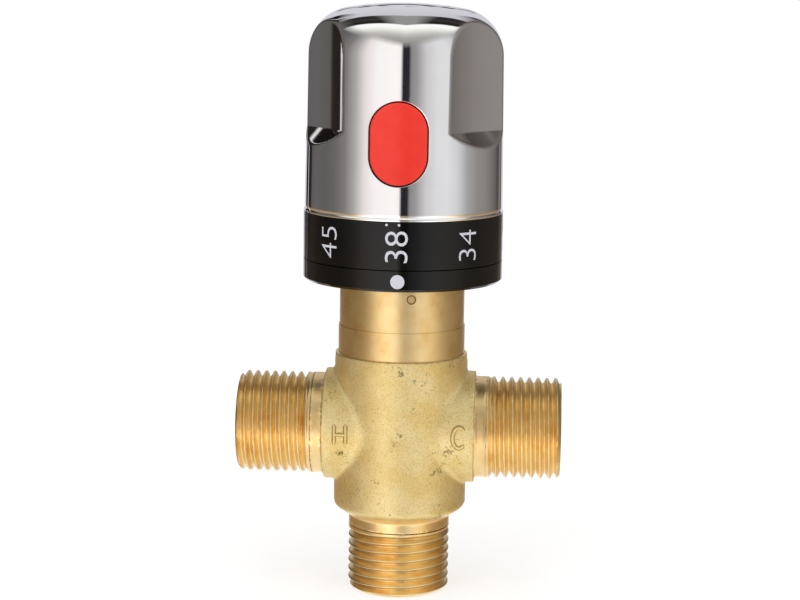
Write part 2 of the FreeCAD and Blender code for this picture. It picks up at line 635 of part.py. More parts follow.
# Inside it, from the outlet's bore up to the bonnet's thread, with a gallery for each inlet.
inside = [("0", "0"), ("port_bore", "0"), ("port_bore", CAGE_FOOT), ("cavity_radius", CAGE_FOOT)]
for low, high in (("-gallery_outer", "-gallery_inner"), ("+gallery_inner", "+gallery_outer")):
    inside += [("cavity_radius", f"port_height {low}"), ("gallery_radius", f"port_height {low}")]
    inside += [("gallery_radius", f"port_height {high}"), ("cavity_radius", f"port_height {high}")]
inside += [("cavity_radius", CAP_THREAD), ("cap_thread_radius", CAP_THREAD)]
inside += [("cap_thread_radius", BARREL_TOP), ("0", BARREL_TOP)]
cut(body, "cavity", draw(sketch_on(body, "cavity_outline"), inside))

# Each inlet has a plain bore, and a flat passage from its floor into its own gallery.
for name, side, level in (("hot", "-", "-"), ("cold", "", "+")):
    sketch = sketch_on(body, f"{name}_bore_outline", lift="port_height")
    draw(sketch, [
        (f"{side}port_floor", "0"),
        (f"{side}port_reach", "0"),
        (f"{side}port_reach", "port_bore"),
        (f"{side}port_floor", "port_bore"),
    ])
    cut(body, f"{name}_bore", sketch, axis="H_Axis")
    sketch = sketch_on(body, f"{name}_passage_outline", "YZ_Plane")
    near = f"port_height {level} (gallery_inner + passage_margin)"
    far = f"port_height {level} (gallery_outer - passage_margin)"
    draw(sketch, [
        ("-passage_width / 2", near),
        ("passage_width / 2", near),
        ("passage_width / 2", far),
        ("-passage_width / 2", far),
    ])
    cut(body, f"{name}_passage", sketch, "port_floor + passage_margin", flipped=name == "cold")

# The bonnet screws into the barrel and carries the spindle, the nut and both rings.
body = turned_piece("bonnet", [
    ("spindle_radius + running_gap", CAP_FOOT),
    ("cavity_radius - end_gap", CAP_FOOT),
    ("cavity_radius - end_gap", f"{CAP_FOOT} + cap_groove_rise"),
    ("cap_groove_floor", f"{CAP_FOOT} + cap_groove_rise"),
    ("cap_groove_floor", f"{CAP_FOOT} + cap_groove_rise + seal_groove"),
    ("cavity_radius - end_gap", f"{CAP_FOOT} + cap_groove_rise + seal_groove"),
    ("cavity_radius - end_gap", f"{CAP_THREAD} + end_gap"),
    ("cap_thread_radius - slip_gap", f"{CAP_THREAD} + end_gap"),
    ("cap_thread_radius - slip_gap", BARREL_TOP),
    ("flange_radius", BARREL_TOP),
    ("flange_radius", FLANGE_TOP),
    ("neck_radius", FLANGE_TOP),
    ("neck_radius", NECK_TOP),
    ("boss_top_radius", NECK_TOP),
    ("boss_top_radius", STOP_TOP),
    ("clip_groove", STOP_TOP),
    ("clip_groove", f"{STOP_TOP} + clip_thick + slip_gap"),
    ("boss_top_radius", f"{STOP_TOP} + clip_thick + slip_gap"),
    ("boss_top_radius", BOSS_TOP),
    ("spindle_radius + running_gap", BOSS_TOP),
])
sketch = draw_hexagon(sketch_on(body, "pocket_outline", "XY_Plane", CAP_FOOT), "nut_across + 2 * nut_gap")
cut(body, "pocket", sketch, "pocket_depth", flipped=True)
cut(body, "chamber", draw(sketch_on(body, "chamber_outline"), [
    ("0", POCKET_TOP),
    ("chamber_radius", POCKET_TOP),
    ("chamber_radius", CHAMBER_TOP),
    ("0", CHAMBER_TOP),
]))
cut(body, "keyway", draw(sketch_on(body, "keyway_outline", "XY_Plane", NECK_TOP), [
    ("-key_width / 2", "boss_top_radius - key_depth"),
    ("key_width / 2", "boss_top_radius - key_depth"),
    ("key_width / 2", "neck_radius"),
    ("-key_width / 2", "neck_radius"),
]), "boss_top_height", flipped=True)

seal_ring("bonnet_oring", "cap_groove_floor", "cavity_radius", f"{CAP_FOOT} + cap_groove_rise + seal_groove / 2")

# The collar slips over the bonnet's neck, and a flush pin locks it.
body = turned_piece("bonnet_collar", [
    ("neck_radius + slip_gap", FLANGE_TOP),
    ("collar_radius", FLANGE_TOP),
    ("collar_radius", NECK_TOP),
    ("neck_radius + slip_gap", NECK_TOP),
])
sketch = sketch_on(body, "pin_hole_outline", lift=f"{NECK_TOP} - pin_drop", turn=value("pin_angle"))
cut(body, "pin_hole", draw_circle(sketch, "0", "0", "pin_radius + seal_gap"), "barrel_radius", flipped=True)

pin = piece("Part::Cylinder", "locking_pin")
tie(pin, "Radius", "pin_radius")
tie(pin, "Height", "collar_radius - neck_radius - 2 * slip_gap")
pin.Placement = Placement(Vector(), Rotation(value("pin_angle"), 0, 90))
tie(pin, "Placement.Base.x", "(neck_radius + slip_gap) * sin(pin_angle)")
tie(pin, "Placement.Base.y", "-(neck_radius + slip_gap) * cos(pin_angle)")
tie(pin, "Placement.Base.z", f"{NECK_TOP} - pin_drop")

# The index ring sits on the collar: a web with an upright rim under the scale ring.
turned_piece("index_ring", [
    ("index_lip", NECK_TOP),
    ("collar_radius + slip_gap", NECK_TOP),
    ("collar_radius + slip_gap", INDEX_FOOT),
    ("dial_radius - index_chamfer", INDEX_FOOT),
    ("dial_radius", f"{INDEX_FOOT} + index_chamfer"),
    ("dial_radius", INDEX_TOP),
    ("dial_radius - index_wall", INDEX_TOP),
    ("dial_radius - index_wall", INDEX_WEB),
    ("index_lip", INDEX_WEB),
])

# The stop ring is keyed to the bonnet, and its lug ends the knob's turn both ways.
body = turned_piece("stop_ring", [
    ("boss_top_radius + slip_gap", INDEX_WEB),
    ("stop_radius", INDEX_WEB),
    ("stop_radius", STOP_TOP),
    ("boss_top_radius + slip_gap", STOP_TOP),
])
pad(body, "key", draw(sketch_on(body, "key_outline", "XY_Plane", INDEX_WEB), [
    ("-key_width / 2 + slip_gap", "boss_top_radius - key_depth + slip_gap"),
    ("key_width / 2 - slip_gap", "boss_top_radius - key_depth + slip_gap"),
    ("key_width / 2 - slip_gap", "boss_top_radius + key_depth"),
    ("-key_width / 2 + slip_gap", "boss_top_radius + key_depth"),
]), "stop_height")
sketch = sketch_on(body, "lug_outline", "XY_Plane", INDEX_WEB)
lug_half = "((360 - turn_cold - turn_hot) / 2 - stop_angle)"
draw_sector(sketch, "lug_bore", "stop_radius", lug_half, "((turn_hot - turn_cold) / 2 - 90)")
pad(body, "lug", sketch, "stop_height + lug_height")

turned_piece("stop_ring_clip", [
    ("clip_groove + slip_gap", STOP_TOP),
    ("clip_radius", STOP_TOP),
    ("clip_radius", f"{STOP_TOP} + clip_thick"),
    ("clip_groove + slip_gap", f"{STOP_TOP} + clip_thick"),
])

# The spindle: adjusting screw, thrust collar, sealed journal and splined head.
SPINDLE_SEAL = f"({THRUST_TOP} + spindle_groove_rise)"
body = turned_piece("spindle", [
    ("0", f"{THRUST_TOP} - thrust_height - screw_length"),
    ("screw_radius", f"{THRUST_TOP} - thrust_height - screw_length"),
    ("screw_radius", f"{THRUST_TOP} - thrust_height"),
    ("thrust_radius", f"{THRUST_TOP} - thrust_height"),
    ("thrust_radius", THRUST_TOP),
    ("spindle_radius", THRUST_TOP),
    ("spindle_radius", SPINDLE_SEAL),
    ("spindle_groove_floor", SPINDLE_SEAL),
    ("spindle_groove_floor", f"{SPINDLE_SEAL} + seal_groove"),
    ("spindle_radius", f"{SPINDLE_SEAL} + seal_groove"),
    ("spindle_radius", CIRCLIP),
    ("circlip_floor", CIRCLIP),
    ("circlip_floor", f"{CIRCLIP} + circlip_thick + slip_gap"),
    ("spindle_radius", f"{CIRCLIP} + circlip_thick + slip_gap"),
    ("spindle_radius", SPLINE_FOOT),
    ("spline_radius", SPLINE_FOOT),
    ("spline_radius", SPINDLE_TOP),
    ("tapping_radius", SPINDLE_TOP),
    ("tapping_radius", f"{SPINDLE_TOP} - tapping_depth"),
    ("0", f"{SPINDLE_TOP} - tapping_depth"),
])
sketch = draw_circle(sketch_on(body, "flute_outline", "XY_Plane", SPLINE_FOOT), "spline_radius", "0", "flute_radius")
flute = cut(body, "flute", sketch, "spline_length", flipped=True)
repeat_round(body, [flute], "spline_count")

seal_ring("spindle_oring", "spindle_groove_floor", "spindle_radius + running_gap", f"{SPINDLE_SEAL} + seal_groove / 2")

turned_piece("spindle_circlip", [
    ("circlip_floor + slip_gap", CIRCLIP),
    ("circlip_radius", CIRCLIP),
    ("circlip_radius", f"{CIRCLIP} + circlip_thick"),
    ("circlip_floor + slip_gap", f"{CIRCLIP} + circlip_thick"),
])

# The adjusting nut rides on the spindle's screw, held from turning by its hexagon.
NUT_ROOF = f"({NUT_TOP} - nut_thread)"
body = piece("PartDesign::Body", "adjusting_nut")
pad(body, "hexagon", draw_hexagon(sketch_on(body, "hexagon_outline", "XY_Plane", NUT_FOOT), "nut_across"), "nut_length")
cut(body, "bore", draw(sketch_on(body, "bore_outline"), [
    ("0", NUT_FOOT),
    ("spring_chamber", NUT_FOOT),
    ("spring_chamber", RETAINER),
    ("retainer_radius + slip_gap", RETAINER),
    ("retainer_radius + slip_gap", f"{RETAINER} + retainer_thick + slip_gap"),
    ("spring_chamber", f"{RETAINER} + retainer_thick + slip_gap"),
    ("spring_chamber", NUT_ROOF),
    ("screw_radius + running_gap", NUT_ROOF),
    ("screw_radius + running_gap", NUT_TOP),
    ("0", NUT_TOP),
]))

turned_piece("thrust_retaining_ring", [
    ("retainer_bore", RETAINER),
    ("retainer_radius", RETAINER),
    ("retainer_radius", f"{RETAINER} + retainer_thick"),
    ("retainer_bore", f"{RETAINER} + retainer_thick"),
])

# The thrust cap takes the pin's push, and the overload spring gives way behind it.
turned_piece("thrust_cap", [
    ("0", f"{THRUST_CAP} + dimple_depth"),
    ("piston_radius + running_gap", f"{THRUST_CAP} + dimple_depth"),
    ("piston_radius + running_gap", THRUST_CAP),
    ("thrust_cap_radius", THRUST_CAP),
    ("thrust_cap_radius", f"{THRUST_CAP} + thrust_cap_height"),
    ("0", f"{THRUST_CAP} + thrust_cap_height"),
])
coil_spring(
    "overload_spring", "overload_radius", "overload_wire", "overload_turns",
    f"({THRUST_CAP} + thrust_cap_height)", NUT_ROOF,
)
turned_piece("piston_pin", [
    ("0", PISTON_FOOT),
    ("piston_radius", PISTON_FOOT),
    ("piston_radius", f"{THRUST_CAP} + dimple_depth"),
    ("0", f"{THRUST_CAP} + dimple_depth"),
])

# The wax element: a bulb in the mixed water, a flange for the spring and a guide for the pin.
BULB_FOOT = f"({CUP_TOP} - cup_height - bulb_length)"
turned_piece("wax_element", [
    ("0", BULB_FOOT),
    ("bulb_radius - bulb_round", BULB_FOOT),
    ("bulb_radius", f"{BULB_FOOT} + bulb_round"),
    ("bulb_radius", f"{CUP_TOP} - cup_height"),
    ("cup_radius", f"{CUP_TOP} - cup_height"),
    ("cup_radius", CUP_TOP),
    ("guide_radius", CUP_TOP),
    ("guide_radius", f"{CUP_TOP} + guide_length"),
    ("piston_radius + running_gap", f"{CUP_TOP} + guide_length"),
    ("piston_radius + running_gap", f"{PISTON_FOOT} - guide_floor"),
    ("0", f"{PISTON_FOOT} - guide_floor"),
], {1: ("bulb_round", 1)})

# The mixing sleeve slides between the hot seat below it and the cold seat above it.
SLEEVE_SEAL = "(port_height - seal_groove / 2)"
body = turned_piece("mixing_sleeve", [
    ("sleeve_bore", "port_height - sleeve_half"),
    ("sleeve_radius", "port_height - sleeve_half"),
    ("sleeve_radius", SLEEVE_SEAL),
    ("sleeve_groove_floor", SLEEVE_SEAL),
    ("sleeve_groove_floor", f"{SLEEVE_SEAL} + seal_groove"),
    ("sleeve_radius", f"{SLEEVE_SEAL} + seal_groove"),
    ("sleeve_radius", "port_height + sleeve_half"),
    ("sleeve_bore", "port_height + sleeve_half"),
])
spoke_reach = "(sleeve_bore + sleeve_groove_floor) / 2"
sketch = draw(sketch_on(body, "spoke_outline", "XY_Plane", CUP_TOP), [
    ("0", "-spoke_width / 2"),
    (spoke_reach, "-spoke_width / 2"),
    (spoke_reach, "spoke_width / 2"),
    ("0", "spoke_width / 2"),
])
spoke = pad(body, "spoke", sketch, "hub_height")
repeat_round(body, [spoke], "spoke_count")
sketch = draw_circle(sketch_on(body, "hub_outline", "XY_Plane", CUP_TOP), "0", "0", "hub_radius")
pad(body, "hub", sketch, "hub_height")
sketch = sketch_on(body, "hub_bore_outline", "XY_Plane", CUP_TOP)
draw_circle(sketch, "0", "0", "guide_radius + slip_gap")
cut(body, "hub_bore", sketch, "hub_height", flipped=True)

seal_ring("sleeve_oring", "sleeve_groove_floor", "cage_bore", "port_height")

# The cage holds both seats, a spider that guides the bulb, and two rows of windows.
grooves = []
for foot in (f"({CAGE_FOOT} + cage_groove_rise)", "(port_height - seal_groove / 2)"):
    grooves += [("cage_radius", foot), ("cage_groove_floor", foot)]
    grooves += [("cage_groove_floor", f"{foot} + seal_groove"), ("cage_radius", f"{foot} + seal_groove")]
SPIDER = f"({CAGE_FOOT} + spider_rise)"
HOT_SEAT = "(port_height - hot_seat_drop)"
COLD_SEAT = "(port_height + cold_seat_rise)"
outline = [("cage_bore", CAGE_FOOT), ("cage_radius", CAGE_FOOT)] + grooves
outline += [("cage_radius", CAGE_TOP), ("seat_bore", CAGE_TOP), ("seat_bore", COLD_SEAT)]
outline += [("cage_bore", COLD_SEAT), ("cage_bore", HOT_SEAT), ("seat_bore", HOT_SEAT)]
outline += [("seat_bore", f"{HOT_SEAT} - hot_seat_thick"), ("cage_bore", f"{HOT_SEAT} - hot_seat_thick")]
outline += [("cage_bore", f"{SPIDER} + spider_height"), ("spider_bore", f"{SPIDER} + spider_height")]
outline += [("spider_bore", SPIDER), ("cage_bore", SPIDER)]
body = turned_piece("cartridge_cage", outline)
sketch = sketch_on(body, "spider_hole_outline", "XY_Plane", CAGE_FOOT)
draw_sector(sketch, "spider_ring", "cage_bore", "180 / spider_holes - spider_leg", "45")
hole = cut(body, "spider_hole", sketch, "spider_rise + spider_height", flipped=True)
repeat_round(body, [hole], "spider_holes")
windows = (("hot", HOT_SEAT, "(port_height - gallery_inner)"), ("cold", "(port_height + gallery_inner)", COLD_SEAT))
for name, low, high in windows:
    sketch = draw(sketch_on(body, f"{name}_window_outline"), [
        ("-window_width / 2", low),
        ("window_width / 2", low),
        ("window_width / 2", high),
        ("-window_width / 2", high),
    ])
    window = cut(body, f"{name}_window", sketch, "cavity_radius", flipped=True)
    repeat_round(body, [window], "window_count")

lower_seal = f"{CAGE_FOOT} + cage_groove_rise + seal_groove / 2"
seal_ring("cage_lower_oring", "cage_groove_floor", "cavity_radius", lower_seal)
seal_ring("cage_middle_oring", "cage_groove_floor", "cavity_radius", "port_height")
coil_spring(
    "return_spring", "return_radius", "return_wire", "return_turns",
    f"({SPIDER} + spider_height)", f"({CUP_TOP} - cup_height)",
)

# The knob's shell: a slightly tapered drum whose shoulder runs tangentially into its crown.
ROUND_AT = "(knob_top_radius - shoulder_round)"
CROWN = f"(({ROUND_AT}^2 + shoulder_drop^2 - shoulder_round^2) / (2 * (shoulder_drop - shoulder_round)))"
CROWN_RADIUS_AT = f"{CROWN} * {ROUND_AT} / ({CROWN} - shoulder_round)"
CROWN_HEIGHT_AT = f"{KNOB_TOP} - {CROWN} + {CROWN} * ({CROWN} - shoulder_drop) / ({CROWN} - shoulder_round)"
body = turned_piece("knob_shell", [
    ("0", HUB_FOOT),
    ("knob_hub_radius", HUB_FOOT),
    ("knob_hub_radius", KNOB_FOOT),
    ("knob_foot_radius", KNOB_FOOT),
    ("knob_top_radius", f"{KNOB_TOP} - shoulder_drop"),
    (CROWN_RADIUS_AT, CROWN_HEIGHT_AT),
    ("0", KNOB_TOP),
], {4: ("shoulder_round", 1), 5: (CROWN, 1)})

# Three shallow finger scoops: each is a slice of a large drum that stands beside the knob.
sketch = sketch_on(body, "scoop_outline", "YZ_Plane")
sketch.AttachmentOffset = Placement(Vector(), Rotation(Vector(0, -1, 0), value("scoop_turn")))
tie(sketch, "AttachmentOffset.Rotation.Angle", "scoop_turn")
scoop_axis = "(scoop_floor + scoop_hollow)"
draw(sketch, [
    ("scoop_floor", f"{KNOB_FOOT} + scoop_rise"),
    ("scoop_floor + scoop_rise", KNOB_FOOT),
    (scoop_axis, KNOB_FOOT),
    (scoop_axis, f"{KNOB_TOP} + lid_recess"),
    ("scoop_floor", f"{KNOB_TOP} + lid_recess"),
])
axle = Part.LineSegment(Vector(value(scoop_axis), 0, 0), Vector(value(scoop_axis), value(KNOB_TOP), 0))
axle = sketch.addGeometry(axle, True)
pin_down(sketch, axle, 1, scoop_axis, "0")
pin_down(sketch, axle, 2, scoop_axis, KNOB_TOP)
scoop = cut(body, "scoop", sketch, axis="Axis0")
repeat_round(body, [scoop], "scoop_count")

# Inside it: a hollow between skirt and hub, and the stepped bore for adaptor, screw and cap.
cut(body, "hollow", draw(sketch_on(body, "hollow_outline"), [
    ("knob_hub_radius", KNOB_FOOT),
    ("skirt_bore", KNOB_FOOT),
    ("skirt_bore", f"{KNOB_FOOT} + skirt_depth"),
    ("shell_bore", f"{KNOB_FOOT} + skirt_depth + skirt_bore - shell_bore"),
    ("shell_bore", f"{KNOB_TOP} - roof_depth - roof_slope"),
    ("roof_bore", f"{KNOB_TOP} - roof_depth"),
    ("knob_hub_radius", f"{KNOB_TOP} - roof_depth"),
]))
cut(body, "stepped_bore", draw(sketch_on(body, "stepped_bore_outline"), [
    ("0", HUB_FOOT),
    ("adaptor_radius + slip_gap", HUB_FOOT),
    ("adaptor_radius + slip_gap", ADAPTOR_TOP),
    ("screw_hole", ADAPTOR_TOP),
    ("screw_hole", SCREW_SEAT),
    ("well_radius", SCREW_SEAT),
    ("well_radius", LID_SEAT),
    ("lid_radius + slip_gap", LID_SEAT),
    ("lid_radius + slip_gap", f"{KNOB_TOP} + lid_recess"),
    ("0", f"{KNOB_TOP} + lid_recess"),
]))

# The hollow widens behind the three lands between the scoops, so that the wall stays even.
land_half = "(60 - acos(shell_bore / land_bore) / 1deg)"
sketch = sketch_on(body, "land_hollow_outline", "XY_Plane", f"{KNOB_FOOT} + skirt_depth")
draw_sector(sketch, "(shell_bore - end_gap)", "land_bore", land_half, "-90")
land_hollow = cut(body, "land_hollow", sketch, "land_depth", flipped=True)
repeat_round(body, [land_hollow], "scoop_count")

# Ribs tie the hub to the shell behind the scoops, and one carries the stop finger.
sketch = draw(sketch_on(body, "rib_outline", "YZ_Plane"), [
    ("knob_hub_radius - slip_gap", f"{KNOB_FOOT} + scoop_rise"),
    ("shell_bore + slip_gap", f"{KNOB_FOOT} + scoop_rise"),
    ("shell_bore + slip_gap", f"{KNOB_TOP} - roof_depth - roof_slope"),
    ("knob_hub_radius - slip_gap", f"{KNOB_TOP} - roof_depth - roof_slope"),
])
rib = pad(body, "rib", sketch, "rib_thick", both_ways=True)
repeat_round(body, [rib], "scoop_count")
sketch = draw(sketch_on(body, "finger_outline", "YZ_Plane"), [
    ("finger_bore", f"{STOP_TOP} + finger_clear"),
    ("finger_bore + finger_depth", f"{STOP_TOP} + finger_clear"),
    ("finger_bore + finger_depth", f"{KNOB_FOOT} + scoop_rise + rib_thick"),
    ("knob_hub_radius - slip_gap", f"{KNOB_FOOT} + scoop_rise + rib_thick"),
    ("knob_hub_radius - slip_gap", f"{HUB_FOOT} + finger_depth"),
    ("finger_bore", f"{HUB_FOOT} + finger_depth"),
])
pad(body, "finger", sketch, "finger_width", both_ways=True)

# The button's opening through the wall, and the deeper pocket behind it for the lip.
sketch = sketch_on(body, "button_pocket_outline", forward="knob_hub_radius + end_gap", lift=BUTTON_MID)
draw_stadium(sketch, "(button_width + 2 * button_lip + 2 * button_gap)", "(button_height + 2 * button_lip + 2 * button_gap)")
pocket_length = "button_back + button_lip_thick + button_gap - knob_hub_radius - end_gap"
cut(body, "button_pocket", sketch, pocket_length, flipped=True)
sketch = sketch_on(body, "button_opening_outline", forward="button_back", lift=BUTTON_MID)
draw_stadium(sketch, "(button_width + 2 * button_gap)", "(button_height + 2 * button_gap)")
cut(body, "button_opening", sketch, "dial_radius", flipped=True)

# The adaptor takes the spindle's splines and is clamped under the knob's web.
body = turned_piece("spline_adaptor", [
    ("spline_radius + running_gap", HUB_FOOT),
    ("adaptor_radius", HUB_FOOT),
    ("adaptor_radius", ADAPTOR_TOP),
    ("screw_hole", ADAPTOR_TOP),
    ("screw_hole", f"{ADAPTOR_TOP} - adaptor_web"),
    ("spline_radius + running_gap", f"{ADAPTOR_TOP} - adaptor_web"),
])
sketch = sketch_on(body, "tooth_outline", "XY_Plane", HUB_FOOT)
draw_circle(sketch, "spline_radius + running_gap", "0", "flute_radius - running_gap")
tooth = pad(body, "tooth", sketch, "adaptor_length - adaptor_web")
repeat_round(body, [tooth], "spline_count")

body = turned_piece("handle_screw", [
    ("0", f"{SCREW_SEAT} - screw_shank_length"),
    ("screw_shank", f"{SCREW_SEAT} - screw_shank_length"),
    ("screw_shank", SCREW_SEAT),
    ("screw_head_radius", SCREW_SEAT),
    ("screw_head_radius", f"{SCREW_SEAT} + screw_head_height"),
    ("0", f"{SCREW_SEAT} + screw_head_height"),
])
sketch = sketch_on(body, "socket_outline", "XY_Plane", f"{SCREW_SEAT} + screw_head_height")
cut(body, "socket", draw_hexagon(sketch, "2 * screw_key"), "screw_head_height / 2")

# The cap closes the screw's well, and its top carries the knob's crown on.
LID_EDGE = f"({KNOB_TOP} - {CROWN} + sqrt({CROWN}^2 - lid_radius^2))"
turned_piece("top_cap", [
    ("0", f"{LID_SEAT} - lid_plug"),
    ("well_radius - slip_gap", f"{LID_SEAT} - lid_plug"),
    ("well_radius - slip_gap", LID_SEAT),
    ("lid_radius", LID_SEAT),
    ("lid_radius", LID_EDGE),
    ("0", KNOB_TOP),
], {4: (CROWN, 1)})

# The scale ring is pressed into the knob's skirt by its spigot.
turned_piece("scale_ring", [
    ("dial_radius - scale_wall", SCALE_FOOT),
    ("dial_radius", SCALE_FOOT),
    ("dial_radius", KNOB_FOOT),
    ("skirt_bore - slip_gap", KNOB_FOOT),
    ("skirt_bore - slip_gap", f"{KNOB_FOOT} + scale_spigot"),
    ("scale_spigot_bore", f"{KNOB_FOOT} + scale_spigot"),
    ("scale_spigot_bore", f"{KNOB_FOOT} - scale_wall"),
    ("dial_radius - scale_wall", f"{KNOB_FOOT} - scale_wall"),
])

# The button: an upright slot-shaped face, a lip behind the wall and a tongue to the stop ring.
body = piece("PartDesign::Body", "button")
sketch = sketch_on(body, "lip_outline", forward="button_back", lift=BUTTON_MID)
draw_stadium(sketch, "(button_width + 2 * button_lip)", "(button_height + 2 * button_lip)")
pad(body, "lip", sketch, "button_lip_thick")
sketch = sketch_on(body, "face_outline", forward="button_back", lift=BUTTON_MID)
draw_stadium(sketch, "button_width", "button_height")
pad(body, "face", sketch, "dial_radius - button_back + button_proud")
face_radius = "(knob_foot_radius + (knob_top_radius - knob_foot_radius) * button_rise / (knob_height - shoulder_drop) + button_proud)"
cut(body, "face_curve", draw(sketch_on(body, "face_curve_outline"), [
    (face_radius, f"{BUTTON_MID} - button_height"),
    (f"{face_radius} + button_height", f"{BUTTON_MID} - button_height"),
    (f"{face_radius} + button_height", f"{BUTTON_MID} + button_height"),
    (face_radius, f"{BUTTON_MID} + button_height"),
]))


def on_button_rim(edge):
    """The edge round the button's face."""
    points = edge.discretize(5)
    return all(abs((p.x ** 2 + p.y ** 2) ** 0.5 - value(face_radius)) < 1e-3 for p in points)


soften(body, "face_round", "button_round", on_button_rim)
sketch = draw(sketch_on(body, "tongue_outline", "XZ_Plane", "button_back - tongue_thick"), [
    ("-tongue_width / 2", f"{LUG_TOP} + tongue_clear"),
    ("tongue_width / 2", f"{LUG_TOP} + tongue_clear"),
    ("tongue_width / 2", BUTTON_MID),
    ("-tongue_width / 2", BUTTON_MID),
])
pad(body, "tongue", sketch, "tongue_thick + button_lip_thick / 2")
sketch = sketch_on(body, "peg_outline", forward="button_back", lift=BUTTON_MID)
pad(body, "peg", draw_circle(sketch, "0", "0", "peg_radius"), "tongue_thick + peg_length", flipped=True)

spring = coil_spring(
    "button_spring", "button_coil", "button_wire", "button_turns",
    "(knob_hub_radius + end_gap)", "(button_back - tongue_thick)",
)
spring.Placement = Placement(Vector(), Rotation(Vector(1, 0, 0), 90))
tie(spring, "Placement.Base.z", BUTTON_MID)

# A check valve fills each inlet's bore: housing, poppet, spring and seal, made along +Z.
CHECK_SEAT = "(port_floor + check_length - check_seat_thick)"
GUIDE = "(port_floor + check_hub_rise)"
CHECK_SEAL = "(port_floor + check_groove_rise)"
DISC = f"({CHECK_SEAT} - end_gap - poppet_thick)"
for name, side in (("hot", -1), ("cold", 1)):
    body = turned_piece(f"{name}_check_housing", [
        ("check_bore", "port_floor"),
        ("check_radius", "port_floor"),
        ("check_radius", CHECK_SEAL),
        ("check_groove_floor", CHECK_SEAL),
        ("check_groove_floor", f"{CHECK_SEAL} + seal_groove"),
        ("check_radius", f"{CHECK_SEAL} + seal_groove"),
        ("check_radius", "port_floor + check_length"),
        ("check_seat_bore", "port_floor + check_length"),
        ("check_seat_bore", CHECK_SEAT),
        ("check_bore", CHECK_SEAT),
        ("check_bore", f"{GUIDE} + check_hub_height"),
        ("poppet_stem + running_gap", f"{GUIDE} + check_hub_height"),
        ("poppet_stem + running_gap", GUIDE),
        ("check_bore", GUIDE),
    ])
    sketch = sketch_on(body, "guide_hole_outline", "XY_Plane", GUIDE)
    draw_sector(sketch, "check_hub_radius", "check_bore", "180 / check_holes - check_leg", "90")
    hole = cut(body, "guide_hole", sketch, "check_hub_height", flipped=True)
    repeat_round(body, [hole], "check_holes")
    lay_along_inlet(body, side)

    body = turned_piece(f"{name}_check_poppet", [
        ("0", "port_floor + poppet_stem_end"),
        ("poppet_stem", "port_floor + poppet_stem_end"),
        ("poppet_stem", DISC),
        ("poppet_radius", DISC),
        ("poppet_radius", f"{DISC} + poppet_thick"),
        ("0", f"{DISC} + poppet_thick"),
    ])
    lay_along_inlet(body, side)

    body = coil_spring(
        f"{name}_check_spring", "check_coil", "check_wire", "check_turns",
        f"({GUIDE} + check_hub_height)", DISC,
    )
    lay_along_inlet(body, side)
    seal = f"{CHECK_SEAL} + seal_groove / 2"
    seal_ring(f"{name}_check_oring", "check_groove_floor", "port_bore", seal, side)

doc.recompute()
for thing in doc.Objects:
    if "Invalid" in thing.State or "Error" in thing.State:
        raise RuntimeError(f"{thing.Name} did not compute: {thing.State}")
for thing in PIECES:
    if thing.Shape.isNull() or not thing.Shape.isValid():
        raise RuntimeError(f"{thing.Label} has no valid shape")

os.makedirs("parts", exist_ok=True)
for thing in PIECES:
    thing.Shape.exportStep(f"parts/{thing.Label}.step")
print(len(PIECES), "pieces written")
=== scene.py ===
"""A thermostatic mixing valve: a blasted brass tee with three threaded ports, a cartridge
inside, and a chromed knob over two black rings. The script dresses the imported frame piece
by piece, from the casting up to the button. Lengths are in millimetres until a mesh is made."""
import math

import bmesh
import bpy
import numpy as np
from mathutils import Matrix, Vector


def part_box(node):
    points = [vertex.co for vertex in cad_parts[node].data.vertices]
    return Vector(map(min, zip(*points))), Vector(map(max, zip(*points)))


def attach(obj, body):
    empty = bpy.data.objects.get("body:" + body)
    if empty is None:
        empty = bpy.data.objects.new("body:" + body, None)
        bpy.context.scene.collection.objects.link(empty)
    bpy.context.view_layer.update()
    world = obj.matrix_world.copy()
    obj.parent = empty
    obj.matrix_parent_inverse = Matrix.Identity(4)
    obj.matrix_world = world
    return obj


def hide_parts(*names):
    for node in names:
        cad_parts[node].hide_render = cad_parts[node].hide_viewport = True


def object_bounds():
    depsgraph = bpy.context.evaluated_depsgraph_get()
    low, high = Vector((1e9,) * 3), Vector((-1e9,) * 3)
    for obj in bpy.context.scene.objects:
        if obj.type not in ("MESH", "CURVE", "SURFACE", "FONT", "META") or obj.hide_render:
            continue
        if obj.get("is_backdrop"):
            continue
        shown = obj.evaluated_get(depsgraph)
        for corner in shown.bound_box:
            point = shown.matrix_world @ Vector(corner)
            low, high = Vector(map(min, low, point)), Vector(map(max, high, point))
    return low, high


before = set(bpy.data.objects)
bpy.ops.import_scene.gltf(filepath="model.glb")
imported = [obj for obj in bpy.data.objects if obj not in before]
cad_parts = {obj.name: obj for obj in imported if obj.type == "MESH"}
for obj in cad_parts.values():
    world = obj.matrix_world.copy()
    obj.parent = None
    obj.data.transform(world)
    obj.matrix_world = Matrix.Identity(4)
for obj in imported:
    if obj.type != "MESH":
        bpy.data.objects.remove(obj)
cad_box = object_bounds()

